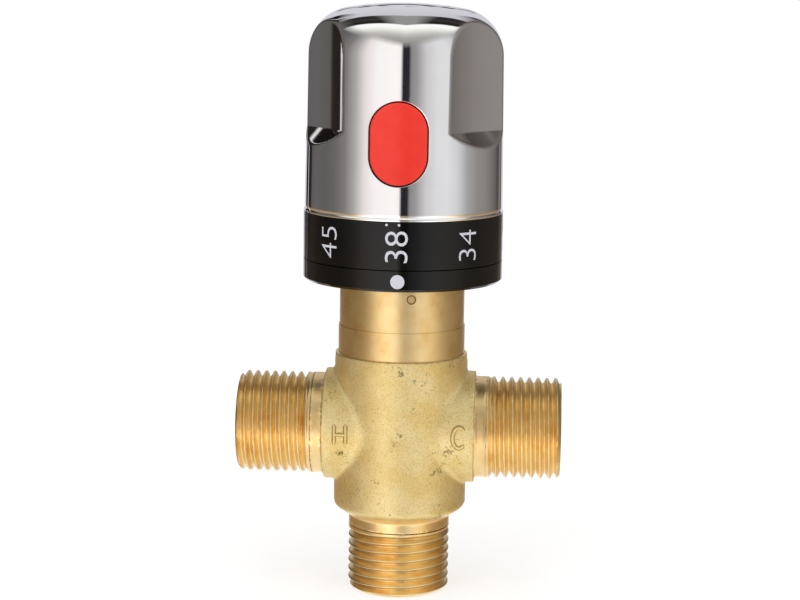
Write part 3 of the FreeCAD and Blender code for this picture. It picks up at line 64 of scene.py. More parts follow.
# ---------------------------------------------------------------------------------------
# Cast body. The tee is cast in brass and shot-blasted, which leaves a pale, even, grainy
# skin with a few dark pits. Barrel and side bosses melt together in a fillet; the plain
# necks of the spigots, the rim and the bores are machined bright.
# ---------------------------------------------------------------------------------------
MM = 0.001
INLET_HEIGHT = 34.3
BARREL_RADIUS, BARREL_FOOT, BARREL_TOP = 13.6, 15.6, 49.8
CONE_START, CONE_OUTWARD, CONE_DOWNWARD = 17.8, 0.576, 0.8175
BOSS_RADIUS, BOSS_END = 11.5, 15.5
SEAM_STANDS, SEAM_WIDTH, SEAM_LOW, SEAM_HIGH, SEAM_END = 0.14, 0.35, 16.5, 48.5, 15.2
NECK_RADIUS, NECK_END, OUTLET_NECK = 10.45, 18.0, 13.4
BORE = 7.5
CARTRIDGE_BORE, CARTRIDGE_SEAT = 10.6, 20.0
BONNET_BORE, BONNET_SEAT = 11.9, 44.5
GALLERY_RADIUS, GALLERY_OFFSET, GALLERY_HALF = 12.0, 4.9, 2.3
PASSAGE_HALF, PASSAGE_START = 5.0, 9.0
OVERLAP = 0.1


def melt(a, b, radius):
    """Two solids joined, with a round fillet where their surfaces meet."""
    near = np.hypot(np.maximum(radius - a, 0), np.maximum(radius - b, 0))
    return np.maximum(radius, np.minimum(a, b)) - near


def trim(a, b, radius):
    """What two solids share, with a round edge where their surfaces meet."""
    near = np.hypot(np.maximum(radius + a, 0), np.maximum(radius + b, 0))
    return np.minimum(-radius, np.maximum(a, b)) + near


def tee(point):
    """How far a point lies outside the cast body's metal."""
    x, y, z = point[..., 0], point[..., 1], point[..., 2]
    from_axis, from_inlets = np.hypot(x, y), np.hypot(y, z - INLET_HEIGHT)
    along = np.abs(x)
    cone = CONE_OUTWARD * (from_axis - BARREL_RADIUS) - CONE_DOWNWARD * (z - CONE_START)
    barrel = trim(trim(from_axis - BARREL_RADIUS, cone, radius=0.45), BARREL_FOOT - z, radius=0.3)
    barrel = trim(barrel, z - BARREL_TOP, radius=0.25)
    boss = trim(from_inlets - BOSS_RADIUS, along - BOSS_END, radius=0.3)
    seam = SEAM_STANDS * np.exp(-((y / SEAM_WIDTH) ** 2))
    seam = seam * (z < SEAM_HIGH) * (z > SEAM_LOW) * (along < SEAM_END)
    cast = melt(barrel, boss, radius=0.7) - seam
    inlet_necks = np.maximum(from_inlets - NECK_RADIUS, along - NECK_END)
    above_neck = np.abs(z - CARTRIDGE_SEAT) - (CARTRIDGE_SEAT - OUTLET_NECK)
    outlet_neck = np.maximum(from_axis - NECK_RADIUS, above_neck)
    metal = melt(cast, np.minimum(inlet_necks, outlet_neck), radius=0.15)
    hollow = np.maximum(from_axis - BORE, z - CARTRIDGE_SEAT - OVERLAP)
    hollow = np.minimum(hollow, np.maximum(from_axis - CARTRIDGE_BORE, CARTRIDGE_SEAT - z))
    hollow = np.minimum(hollow, np.maximum(from_axis - BONNET_BORE, BONNET_SEAT - z))
    for side in (-1, 1):
        gallery = np.abs(z - INLET_HEIGHT - side * GALLERY_OFFSET) - GALLERY_HALF
        hollow = np.minimum(hollow, np.maximum(from_axis - GALLERY_RADIUS, gallery))
        passage = np.maximum(np.abs(y) - PASSAGE_HALF, gallery + OVERLAP)
        hollow = np.minimum(hollow, np.maximum(passage, PASSAGE_START - side * x))
    return np.maximum(metal, -hollow)


def skin(solid, low, high, step, nudge=0.01, passes=4):
    """The surface of a solid as vertices and quads: one vertex in each cell it passes through."""
    axes = [np.arange(a, b, step) for a, b in zip(low, high)]
    grid = np.stack(np.meshgrid(*axes, indexing="ij"), -1)
    depth = solid(grid)
    cells = tuple(n - 1 for n in depth.shape)
    total, count, quads = np.zeros(cells + (3,)), np.zeros(cells), []
    for axis in range(3):
        across, up = (axis + 1) % 3, (axis + 2) % 3
        near = np.take(depth, range(depth.shape[axis] - 1), axis)
        far = np.take(depth, range(1, depth.shape[axis]), axis)
        edge = np.argwhere((near < 0) != (far < 0))
        before, after = near[tuple(edge.T)], far[tuple(edge.T)]
        crossing = grid[tuple(edge.T)]
        crossing[:, axis] += step * before / (before - after)
        ring = []
        for back, down in ((0, 0), (1, 0), (1, 1), (0, 1)):
            cell = edge.copy()
            cell[:, across] -= back
            cell[:, up] -= down
            np.add.at(total, tuple(cell.T), crossing)
            np.add.at(count, tuple(cell.T), 1)
            ring.append(np.ravel_multi_index(tuple(cell.T), cells))
        ring = np.stack(ring, -1)
        quads.append(np.where((before < 0)[:, None], ring, ring[:, ::-1]))
    used, quads = np.unique(np.concatenate(quads), return_inverse=True)
    points = total.reshape(-1, 3)[used] / count.reshape(-1)[used][:, None]
    # Each vertex slides down the slope on to the surface, by half a cell at the most.
    for _ in range(passes):
        off = solid(points)
        slope = [solid(points + d) - solid(points - d) for d in nudge * np.eye(3)]
        slope = np.stack(slope, -1) / (2 * nudge)
        size = np.maximum((slope ** 2).sum(-1), 0.25)
        points -= np.clip(off / size, -step / 2, step / 2)[:, None] * slope
    return points, quads.reshape(-1, 4)


def make_piece(name, points, faces, body, slot, *materials, crease, stands_for=()):
    """A mesh piece from points in millimetres, smooth up to its creases, on its body."""
    mesh = bpy.data.meshes.new(name)
    faces = [[int(v) for v in face] for face in faces]
    mesh.from_pydata((np.asarray(points) * MM).tolist(), [], faces)
    mesh.validate()
    mesh.polygons.foreach_set("use_smooth", [True] * len(mesh.polygons))
    mesh.set_sharp_from_angle(angle=math.radians(crease))
    for material in materials:
        mesh.materials.append(material)
    made = bpy.data.objects.new(name, mesh)
    bpy.context.scene.collection.objects.link(made)
    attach(made, body)
    if stands_for:
        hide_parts(*stands_for)
    return made


def linear(colour):
    """An sRGB hex colour as the linear numbers that a shader takes."""
    parts = [int(colour[i:i + 2], 16) / 255 for i in (1, 3, 5)]
    return [c / 12.92 if c <= 0.04045 else ((c + 0.055) / 1.055) ** 2.4 for c in parts] + [1.0]


def add_node(tree, kind, settings=(), links=()):
    """A node with its settings, by attribute, ramp stops or input, and its links, by input."""
    made = tree.nodes.new(kind)
    for name, setting in dict(settings).items():
        if name == "stops":
            while len(made.color_ramp.elements) < len(setting):
                made.color_ramp.elements.new(0.5)
            for element, (place, colour) in zip(made.color_ramp.elements, setting):
                element.position, element.color = place, linear(colour)
        elif isinstance(name, str) and hasattr(made, name):
            setattr(made, name, setting)
        else:
            made.inputs[name].default_value = setting
    for name, source in dict(links).items():
        tree.links.new(source, made.inputs[name])
    return made


# Inputs that share a name with others go by number: a colour mix's amount, first and second
# colour, and the ends of a range, from and to.
AMOUNT, FIRST, SECOND = 0, 6, 7
FROM_LOW, FROM_HIGH, TO_LOW, TO_HIGH = 1, 2, 3, 4


def new_material(name):
    """An empty material, its tree and the position on the object in millimetres."""
    material = bpy.data.materials.new(name)
    material.use_nodes = True
    tree = material.node_tree
    tree.nodes.clear()
    place = add_node(tree, "ShaderNodeTexCoord").outputs["Object"]
    scale = add_node(tree, "ShaderNodeVectorMath", {"operation": "SCALE", "Scale": 1 / MM},
                     {0: place})
    return material, tree, scale.outputs[0]


# Shot-blasted cast brass: the shot leaves dimples of about 0.3 mm, so the metal scatters its
# light several times over and looks pale and partly matt; a few ragged flecks from the mould
# stay dark.
GRIT_SIZE, PATCH_SIZE, FLECK_SIZE, GROUP_SIZE = 0.33, 5, 0.7, 4
blasted_brass, tree, at = new_material("shot_blasted_brass")
grit = add_node(tree, "ShaderNodeTexNoise",
                {"Scale": 1 / GRIT_SIZE, "Detail": 3.0, "Roughness": 0.6}, {"Vector": at})
patches = add_node(tree, "ShaderNodeTexNoise", {"Scale": 1 / PATCH_SIZE, "Detail": 2.0},
                   {"Vector": at})
flecks = add_node(tree, "ShaderNodeTexNoise",
                  {"Scale": 1 / FLECK_SIZE, "Detail": 3.0, "Roughness": 0.7, "Distortion": 1.2},
                  {"Vector": at})
groups = add_node(tree, "ShaderNodeTexNoise", {"Scale": 1 / GROUP_SIZE, "Detail": 1.0},
                  {"Vector": at})
both = add_node(tree, "ShaderNodeMath", {"operation": "MULTIPLY"},
                {0: flecks.outputs["Fac"], 1: groups.outputs["Fac"]})
flecked = add_node(tree, "ShaderNodeMapRange", {FROM_LOW: 0.37, FROM_HIGH: 0.42, TO_HIGH: 0.75},
                   {0: both.outputs[0]})
tone = add_node(tree, "ShaderNodeValToRGB",
                {"stops": [(0.3, "#e0c88a"), (0.45, "#f7e0a2"), (0.62, "#fdecb5")]},
                {0: grit.outputs["Fac"]})
shade = add_node(tree, "ShaderNodeValToRGB", {"stops": [(0.35, "#f6eed8"), (0.65, "#ffffff")]},
                 {0: patches.outputs["Fac"]})
mixed = add_node(tree, "ShaderNodeMix",
                 {"data_type": "RGBA", "blend_type": "MULTIPLY", AMOUNT: 1.0},
                 {FIRST: tone.outputs[0], SECOND: shade.outputs[0]})
dark = add_node(tree, "ShaderNodeMix", {"data_type": "RGBA", SECOND: linear("#6b5526")},
                {AMOUNT: flecked.outputs[0], FIRST: mixed.outputs[2]})
bump = add_node(tree, "ShaderNodeBump", {"Strength": 0.5, "Distance": 0.1 * MM},
                {"Height": grit.outputs["Fac"]})
shader = add_node(tree, "ShaderNodeBsdfPrincipled", {"Metallic": 0.78, "Roughness": 0.5},
                  {"Base Color": dark.outputs[2], "Normal": bump.outputs[0]})
add_node(tree, "ShaderNodeOutputMaterial", links={0: shader.outputs[0]})

# Turned brass: the tool leaves fine rings round the axis, which draw the highlight out
# along it. The metal is a warmer gold than the blasted skin, with faint handling stains.
TOOL_FEED, MARK_LENGTH, STAIN_SIZE = 0.08, 9, 4


def turned_brass_for(name, axis):
    """Turned brass whose tool marks run round the X or the Z axis."""
    material, tree, at = new_material(name)
    rings = (1 / TOOL_FEED, 1 / MARK_LENGTH, 1 / MARK_LENGTH)
    rings = rings if axis == "X" else rings[::-1]
    stretched = add_node(tree, "ShaderNodeVectorMath", {"operation": "MULTIPLY", 1: rings},
                         {0: at})
    marks = add_node(tree, "ShaderNodeTexNoise", {"Scale": 1.0, "Detail": 2.0},
                     {"Vector": stretched.outputs[0]})
    stains = add_node(tree, "ShaderNodeTexNoise",
                      {"Scale": 1 / STAIN_SIZE, "Detail": 4.0, "Roughness": 0.6}, {"Vector": at})
    tone = add_node(tree, "ShaderNodeValToRGB",
                    {"stops": [(0.3, "#eec884"), (0.45, "#f7d89b"), (0.7, "#fce3ab")]},
                    {0: stains.outputs["Fac"]})
    gloss = add_node(tree, "ShaderNodeMapRange",
                     {FROM_LOW: 0.3, FROM_HIGH: 0.7, TO_LOW: 0.3, TO_HIGH: 0.4},
                     {0: marks.outputs["Fac"]})
    bump = add_node(tree, "ShaderNodeBump", {"Strength": 0.2, "Distance": 0.02 * MM},
                    {"Height": marks.outputs["Fac"]})
    shader = add_node(tree, "ShaderNodeBsdfPrincipled", {"Metallic": 1.0},
                      {"Base Color": tone.outputs[0], "Roughness": gloss.outputs[0],
                       "Normal": bump.outputs[0]})
    add_node(tree, "ShaderNodeOutputMaterial", links={0: shader.outputs[0]})
    return material


turned_brass = turned_brass_for("turned_brass", "Z")
turned_inlet_brass = turned_brass_for("turned_brass_inlets", "X")

GRID_LOW, GRID_HIGH, GRID_STEP = (-18.9, -14.9, 12.6), (18.9, 14.9, 50.6), 0.38
points, quads = skin(tee, GRID_LOW, GRID_HIGH, GRID_STEP)
casting = make_piece("valve_casting", points, quads, "valve", "cast_brass",
                     blasted_brass, turned_brass, turned_inlet_brass,
                     crease=50, stands_for=["valve_body"])
# The bores and the faced rims are turned about the barrel's axis, the necks about the inlets'.
INSIDE = 12.3
centre = points[quads].mean(1)
turned = np.hypot(centre[:, 0], centre[:, 1]) < INSIDE
turned |= (centre[:, 2] < BARREL_FOOT - 0.2) | (centre[:, 2] > BARREL_TOP - 0.1)
necks = np.abs(centre[:, 0]) > BOSS_END + 0.1
finish = np.where(necks, 2, np.where(turned, 1, 0)).astype(np.int32)
casting.data.polygons.foreach_set("material_index", finish)

# ---------------------------------------------------------------------------------------
# Threaded spigots. Each port ends in a G 1/2 pipe thread, cut on a lathe after casting:
# right-handed, 14 turns an inch, with rounded crests and roots and a 45 degree lead-in.
# ---------------------------------------------------------------------------------------
PITCH = 1.814
HALF_FLANK = math.radians(27.5)
THREAD_OUTSIDE, THREAD_DEPTH, THREAD_ROUND = 10.4775, 1.162, 0.249
RUN_OUT_START, RUN_OUT = 0.1, 1.6
END_CHAMFER, BORE_CHAMFER, SPIGOT_WALL = 0.79, 0.35, 1.5
HOT_CREST, COLD_CREST, OUTLET_CREST = 1.9, 1.6, 1.4
THREAD_STEP = 0.12


def torus_faces(rows, columns):
    """Quads over a grid that closes on itself both ways."""
    row, column = np.meshgrid(np.arange(rows), np.arange(columns), indexing="ij")
    here, below = row * columns, (row + 1) % rows * columns
    after = (column + 1) % columns
    corners = (here + column, here + after, below + after, below + column)
    return np.stack(corners, -1).reshape(-1, 4)


def thread_radius(along, angle, length, crest):
    """Radius of the thread's surface, with its run-out at the root and lead-in at the end."""
    turn = (length - crest - along) / PITCH + angle / (2 * np.pi)
    off_crest = np.abs(turn - np.round(turn)) * PITCH
    bend = THREAD_ROUND * math.cos(HALF_FLANK)
    on_crest = np.minimum(off_crest, bend)
    crest_arc = THREAD_ROUND - np.sqrt(np.maximum(THREAD_ROUND ** 2 - on_crest ** 2, 0))
    off_root = np.minimum(PITCH / 2 - off_crest, bend)
    root_arc = THREAD_ROUND - np.sqrt(np.maximum(THREAD_ROUND ** 2 - off_root ** 2, 0))
    flank = np.clip(off_crest - bend, 0, PITCH / 2 - 2 * bend) / math.tan(HALF_FLANK)
    deep = np.where(off_crest > PITCH / 2 - bend, THREAD_DEPTH - root_arc, crest_arc + flank)
    deep = np.where(off_crest < bend, crest_arc, deep)
    deep = deep * np.clip((along - RUN_OUT_START) / RUN_OUT, 0, 1)
    end = THREAD_OUTSIDE - END_CHAMFER
    return np.minimum(THREAD_OUTSIDE - deep, np.maximum(end + (length - along), end))


def add_spigot(name, length, crest, place, material, columns=112):
    """A threaded tube from its neck to its end, with a plain bore."""
    steps = np.linspace(0, length, int(length / THREAD_STEP))
    angle = np.linspace(0, 2 * np.pi, columns, endpoint=False)
    along, turn = np.meshgrid(steps, angle, indexing="ij")
    radius = thread_radius(along, turn, length, crest)
    inside = [(length, BORE + BORE_CHAMFER), (length - BORE_CHAMFER, BORE), (length / 2, BORE),
              (0, BORE), (0, BORE + SPIGOT_WALL)]
    along = np.vstack([along] + [np.full(columns, x) for x, _ in inside])
    radius = np.vstack([radius] + [np.full(columns, r) for _, r in inside])
    turn = np.vstack([turn] + [angle] * len(inside))
    points = np.stack([along, radius * np.cos(turn), radius * np.sin(turn)], -1).reshape(-1, 3)
    make_piece(name, [place @ Vector(p) for p in points], torus_faces(*along.shape), "valve",
               "machined_brass", material, crease=35, stands_for=["valve_body"])


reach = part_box("valve_body")[1].x / MM
to_hot = Matrix.Translation((-NECK_END, 0, INLET_HEIGHT)) @ Matrix.Rotation(math.pi, 4, "Z")
to_cold = Matrix.Translation((NECK_END, 0, INLET_HEIGHT))
to_outlet = Matrix.Translation((0, 0, OUTLET_NECK)) @ Matrix.Rotation(math.pi / 2, 4, "Y")
add_spigot("hot_spigot", reach - NECK_END, HOT_CREST, to_hot, turned_inlet_brass)
add_spigot("cold_spigot", reach - NECK_END, COLD_CREST, to_cold, turned_inlet_brass)
add_spigot("outlet_spigot", OUTLET_NECK, OUTLET_CREST, to_outlet, turned_brass)

# ---------------------------------------------------------------------------------------
# Cast marks. A plain H for hot and C for cold stand up from the front of the bosses, part
# of the casting, with soft edges left by the mould and the shot.
# ---------------------------------------------------------------------------------------
MARK_ROUND, END_SIZE = 0.6, 0.75
HOT_AT, BAR_ASIDE, BAR_HALF_HEIGHT = -11.6, 1.15, 2.0
COLD_AT, ARC_HALF_WIDTH, ARC_HALF_HEIGHT, ARC_OPENING = 12.6, 1.3, 2.1, 0.75


def clouded(name, size, detail, dark, light, settings, gloss=(), ripple=0):
    """A finish a shade darker and lighter in clouds of one size, which its gloss and its
    ripple follow. The size is in millimetres."""
    material, tree, at = new_material(name)
    cloud = add_node(tree, "ShaderNodeTexNoise", {"Scale": 1 / size, "Detail": detail},
                     {"Vector": at})
    tone = add_node(tree, "ShaderNodeValToRGB", {"stops": [(0.3, dark), (0.7, light)]},
                    {0: cloud.outputs["Fac"]})
    links = {"Base Color": tone.outputs[0]}
    if gloss:
        rough = {FROM_LOW: 0.3, FROM_HIGH: 0.7, TO_LOW: gloss[0], TO_HIGH: gloss[1]}
        rough = add_node(tree, "ShaderNodeMapRange", rough, {0: cloud.outputs["Fac"]})
        links["Roughness"] = rough.outputs[0]
    if ripple:
        bump = add_node(tree, "ShaderNodeBump", {"Strength": ripple, "Distance": 0.02 * MM},
                        {"Height": cloud.outputs["Fac"]})
        links["Normal"] = bump.outputs[0]
    shader = add_node(tree, "ShaderNodeBsdfPrincipled", settings, links)
    add_node(tree, "ShaderNodeOutputMaterial", links={0: shader.outputs[0]})
    return material


# Painted shade: a dull olive brown, darker than the blasted skin, that stands for the shade in
# the corner along the foot of each letter.
painted_shade_brass = clouded("painted_corner_shade_brass", 0.3, 2.0, "#b09a58", "#ccb878",
                       {"Metallic": 1.0, "Roughness": 0.55})


def add_cast_mark(name, strokes, middle):
    """Strokes standing out of a boss's front, each with a low darker fillet along its foot:
    painted shade in the corner round the letter.
    """
    curve = bpy.data.curves.new(name, "CURVE")
    curve.dimensions, curve.bevel_depth, curve.bevel_resolution = "3D", MARK_ROUND * MM, 4
    curve.use_fill_caps = True
    curve.materials.append(painted_shade_brass)
    curve.materials.append(blasted_brass)
    # The low, wider stroke under each crest carries the painted shade round the letter's foot.
    fillet, crest = (0, 1.0, -0.35), (1, 0.52, 0.1)
    for index, size, proud in (fillet, crest):
        for stroke in strokes:
            line = curve.splines.new("POLY")
            line.material_index = index
            line.points.add(len(stroke) - 1)
            for point, (x, z) in zip(line.points, stroke):
                front = -math.sqrt(BOSS_RADIUS ** 2 - z ** 2) - proud
                point.co = ((middle + x) * MM, front * MM, (INLET_HEIGHT + z) * MM, 1)
                point.radius = size
            line.points[0].radius = line.points[-1].radius = END_SIZE * size
    mark = bpy.data.objects.new(name, curve)
    bpy.context.scene.collection.objects.link(mark)
    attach(mark, "valve")


bars = [[(x, z) for z in np.linspace(-BAR_HALF_HEIGHT, BAR_HALF_HEIGHT, 9)]
        for x in (-BAR_ASIDE, BAR_ASIDE)]
bars.append([(-BAR_ASIDE, 0), (0, 0), (BAR_ASIDE, 0)])
add_cast_mark("hot_mark", bars, HOT_AT)
arc = [(ARC_HALF_WIDTH * math.cos(a), ARC_HALF_HEIGHT * math.sin(a))
       for a in np.linspace(ARC_OPENING, 2 * np.pi - ARC_OPENING, 24)]
add_cast_mark("cold_mark", [arc], COLD_AT)

# ---------------------------------------------------------------------------------------
# Check valves and cartridge. White acetal mouldings, drawn steel springs, copper element
# and rubber seals sit inside the body; they show only through the open ports.
# ---------------------------------------------------------------------------------------
def dress(material, *names):
    """Give frame nodes their material."""
    for name in names:
        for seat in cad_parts[name].material_slots:
            seat.material = material


# Moulded acetal: faintly waxy white, a little uneven from the mould's polish.
acetal = clouded("moulded_acetal", 1.25, 3.0, "#e2ddcd", "#f1eee4",
                 {"Roughness": 0.38, "IOR": 1.48}, ripple=0.15)

# Drawn stainless wire and pressings: bright grey with fine scratches along the draw.
steel = clouded("drawn_stainless_steel", 0.2, 3.0, "#9c9c9a", "#c9c9c6",
                {"Metallic": 1.0}, gloss=(0.22, 0.4))

# Spun copper: a warm bright skin with brown clouds where it has been handled.
copper = clouded("spun_copper", 2, 4.0, "#a5603c", "#d98e63",
                 {"Metallic": 1.0, "Roughness": 0.28})

# Nitrile rubber: near black, slightly greasy from the grease it is fitted with.
rubber = clouded("nitrile_rubber", 2 / 3, 2.0, "#141414", "#232323",
                 {"Roughness": 0.45, "IOR": 1.52})

for side in ("hot", "cold"):
    dress(acetal, f"{side}_check_housing", f"{side}_check_poppet")
    dress(steel, f"{side}_check_spring")
    dress(rubber, f"{side}_check_oring")
dress(acetal, "cartridge_cage", "mixing_sleeve", "stop_ring", "spline_adaptor")
dress(rubber, "cage_lower_oring", "cage_middle_oring", "sleeve_oring", "bonnet_oring",
      "spindle_oring")
dress(steel, "return_spring", "overload_spring", "thrust_cap", "thrust_retaining_ring",
      "piston_pin", "stop_ring_clip", "spindle_circlip", "handle_screw", "button_spring")
dress(copper, "wax_element")

# ---------------------------------------------------------------------------------------
# Bonnet, collar, spindle and nut. Bar brass turned on a lathe: the bonnet's flange shows
# above the casting, and the collar slips over its neck with a small pin through it.
# ---------------------------------------------------------------------------------------
dress(turned_brass, "bonnet", "bonnet_collar", "spindle", "adjusting_nut")

# The pin's end is filed flush: brass with a dark line of grime round it where it meets the
# collar, so the colour goes by the distance from the pin's axis.
PIN_ANGLE, PIN_HEIGHT = math.radians(11.8), 62.5
GRIME_START, GRIME_FULL = 0.66, 0.78
filed_pin, tree, at = new_material("filed_brass_pin")
from_centre = add_node(tree, "ShaderNodeVectorMath",
                       {"operation": "SUBTRACT", 1: (0, 0, PIN_HEIGHT)}, {0: at})
pin_axis = (math.sin(PIN_ANGLE), -math.cos(PIN_ANGLE), 0)
across = add_node(tree, "ShaderNodeVectorMath", {"operation": "CROSS_PRODUCT", 1: pin_axis},
                  {0: from_centre.outputs[0]})
offset = add_node(tree, "ShaderNodeVectorMath", {"operation": "LENGTH"}, {0: across.outputs[0]})
scuffs = add_node(tree, "ShaderNodeTexNoise", {"Scale": 1 / 0.4, "Detail": 3.0}, {"Vector": at})
tone = add_node(tree, "ShaderNodeValToRGB", {"stops": [(0.3, "#d8b878"), (0.7, "#f0d498")]},
                {0: scuffs.outputs["Fac"]})
grime = add_node(tree, "ShaderNodeMapRange", {FROM_LOW: GRIME_START, FROM_HIGH: GRIME_FULL},
                 {0: offset.outputs["Value"]})
worn = add_node(tree, "ShaderNodeMix", {"data_type": "RGBA", SECOND: linear("#8a6a38")},
                {AMOUNT: grime.outputs[0], FIRST: tone.outputs[0]})
shader = add_node(tree, "ShaderNodeBsdfPrincipled", {"Metallic": 1.0, "Roughness": 0.38},
                  {"Base Color": worn.outputs[2]})
add_node(tree, "ShaderNodeOutputMaterial", links={0: shader.outputs[0]})
dress(filed_pin, "locking_pin")

# ---------------------------------------------------------------------------------------
# Index ring and scale ring. Both are moulded in black ABS with a polished outside; the
# lower one is fixed and carries the mark, the upper one turns with the knob.
# ---------------------------------------------------------------------------------------
RING_RADIUS = 20.35
INK_GAP, INK_THICKNESS = 0.012, 0.02
FIGURE_SIZE, WIDEN = 6.5, 1.07
FIGURE_HEIGHT, INDEX_HEIGHT, TICK_HEIGHT = 74.1, 67.2, 78.4
INDEX_RADIUS, TICK_RADIUS = 1.4, 0.26
THIN, THINNER = -0.05, -0.1

# Polished black ABS: deep and glossy, with the faint ripple of a moulded face.
black_abs = clouded("polished_black_abs", 2, 2.0, "#060606", "#0b0a0a",
                    {"IOR": 1.42}, gloss=(0.1, 0.14))
dress(black_abs, "index_ring", "scale_ring")

# Pad-printed ink: a thin off-white film, slightly uneven, with a dull sheen.
white_ink = clouded("pad_printed_ink", 1 / 3, 3.0, "#d6d5de", "#e4e3ea",
                    {"Roughness": 0.45, "IOR": 1.45})


def add_print(name, flat, body, degrees, height):
    """Bend a flat print (x round the ring, y up it) on to the ring at an angle from the front."""
    points, faces = flat
    turn = math.radians(degrees) + points[:, 0] / RING_RADIUS
    out = RING_RADIUS + INK_GAP + points[:, 2]
    bent = np.stack([out * np.sin(turn), -out * np.cos(turn), height + points[:, 1]], -1)
    make_piece(name, bent, faces, body, "white_plastic", white_ink, crease=30)


def dot_print(radius, rings=6, columns=48):
    """A round dot of ink: a low disc with its edge turned down."""
    points, turns = [(0, 0, INK_THICKNESS)], np.linspace(0, 2 * np.pi, columns, endpoint=False)
    for ring in range(1, rings + 1):
        r = radius * math.sin(ring / rings * math.pi / 2)
        lift = INK_THICKNESS if ring < rings else -INK_THICKNESS
        points += [(r * math.cos(a), r * math.sin(a), lift) for a in turns]
    faces = [(0, 1 + k, 1 + (k + 1) % columns) for k in range(columns)]
    for a in range(1, 1 + (rings - 1) * columns, columns):
        b = a + columns
        faces += [(a + k, b + k, b + (k + 1) % columns, a + (k + 1) % columns)
                  for k in range(columns)]
    return np.array(points), faces


def number_print(text, stroke, slice_width=0.3):
    """Figures that read up the ring: text turned a quarter, sliced finely enough to bend."""
    curve = bpy.data.curves.new("figures", "FONT")
    curve.body, curve.size, curve.offset, curve.extrude = text, FIGURE_SIZE, stroke, INK_THICKNESS
    curve.resolution_u = 6
    holder = bpy.data.objects.new("figures", curve)
    shape = bmesh.new()
    shape.from_mesh(bpy.data.meshes.new_from_object(holder))
    bpy.data.objects.remove(holder)
    for y in np.arange(slice_width, FIGURE_SIZE, slice_width):
        everything = [*shape.verts, *shape.edges, *shape.faces]
        bmesh.ops.bisect_plane(shape, geom=everything, plane_co=(0, y, 0), plane_no=(0, 1, 0))
    bmesh.ops.remove_doubles(shape, verts=shape.verts, dist=0.001)
    points = np.array([v.co for v in shape.verts])
    shape.verts.index_update()
    faces = [[v.index for v in f.verts] for f in shape.faces]
    points -= (points.min(0) + points.max(0)) / 2
    return np.stack([-points[:, 1], points[:, 0] * WIDEN, points[:, 2]], -1), faces


add_print("index_mark", dot_print(INDEX_RADIUS), "valve", 0.6, INDEX_HEIGHT)
for degrees, text in ((-42.7, "45"), (-0.2, "38"), (42.4, "34"), (98, "30"), (140, "25"),
                      (-98, "50")):
    figures = number_print(text, THIN if text == "38" else THINNER)
    add_print(f"figure_{text}", figures, "knob", degrees, FIGURE_HEIGHT)
for name, degrees in (("tick_left", -5.8), ("tick_right", 1.1)):
    add_print(name, dot_print(TICK_RADIUS), "knob", degrees, TICK_HEIGHT)

# ---------------------------------------------------------------------------------------
# Knob. The shell is injection-moulded ABS with bright chrome plate: a tapered drum whose
# shoulder runs into a shallow crown, with three scooped flats for the fingers. A round cap
# closes the screw's well in the crown.
# ---------------------------------------------------------------------------------------
KNOB_FOOT, KNOB_TOP = 79.0, 121.0
FOOT_RADIUS, WALL_SLOPE = 20.18, 0.38 / 31.5
SHOULDER, SHOULDER_HEIGHT, CROWN = 9.66, 110.5, 71.28
SCOOP_FLOOR, SCOOP_HOLLOW, SCOOP_FOOT, SCOOP_EDGE = 16.8, 62.0, 96.0, 28.7
SCOOPS, SCOOP_SHARE = (57.8, 177.8, 297.8), 60.0
EDGE_ROUND = 0.3
LAND_BORE, SCOOP_BORE, SKIRT_BORE = 17.8, 15.0, 18.2
SKIRT_END, LAND_START = 89.0, 91.5
CAP_SEAT_RADIUS, CAP_SEAT = 9.05, 119.4
WELL_RADIUS, WELL_FLOOR, SCREW_HOLE = 4.0, 95.0, 2.2
HUB_BORE, HUB_RADIUS, HUB_FOOT, HUB_ROOF, ROOF = 6.05, 7.5, 76.0, 92.0, 117.0


def soft_least(a, b, radius):
    """The smaller of two radii, rounded over where they are nearly the same."""
    gap = np.abs(a - b)
    eased = (a + b) / 2 + np.sqrt(np.maximum(2 * radius ** 2 - gap ** 2, 0)) / 2 - radius
    return np.where(gap < radius, eased, np.minimum(a, b))


def from_scoop(degrees):
    """Angle to the middle of the nearest scoop, in radians."""
    return np.radians(np.min([np.abs((degrees - s + 180) % 360 - 180) for s in SCOOPS], 0))


def scoop_face(degrees, height):
    """How far from the axis a scoop's face is; below its floor it runs out at 45 degrees."""
    off, middle = from_scoop(degrees), SCOOP_FLOOR + SCOOP_HOLLOW
    hollow = SCOOP_HOLLOW - np.maximum(SCOOP_FOOT - height, 0)
    inside = hollow ** 2 - (middle * np.sin(off)) ** 2
    face = middle * np.cos(off) - np.sqrt(np.maximum(inside, 0))
    return np.where(inside > 0, face, np.inf)


def grid_of(outline, columns):
    """Radii and heights of an outline repeated round the axis."""
    outline = np.array(outline)
    return np.repeat(outline[:, :1], columns, 1), np.repeat(outline[:, 1:], columns, 1)


def wall_radius(height):
    """Outside radius of the tapered wall."""
    return FOOT_RADIUS - WALL_SLOPE * (height - KNOB_FOOT)


# Directions lie closest at the scoops' edges, and heights at the scoops' feet and the window.
half = [0.0]
while half[-1] < SCOOP_SHARE - 0.6:
    off_edge = abs(half[-1] - SCOOP_EDGE)
    half.append(half[-1] + (0.25 if off_edge < 1.6 else 0.6 if off_edge < 3.2 else 1.2))
half[-1] = SCOOP_SHARE
around = {round((s + way * h) % 360, 4) for s in SCOOPS for way in (-1, 1) for h in half}
around = np.array(sorted(around))
columns = len(around)
taper = math.atan(WALL_SLOPE)
wall_top = SHOULDER_HEIGHT + SHOULDER * math.sin(taper)
heights = np.concatenate([[79.9, 80.3], np.arange(81.0, 85.0, 0.8), np.arange(85.2, 91.4, 0.35),
                          np.arange(91.5, 97.0, 0.22), np.arange(97.2, 103.2, 0.4),
                          np.arange(103.6, wall_top, 0.9)])

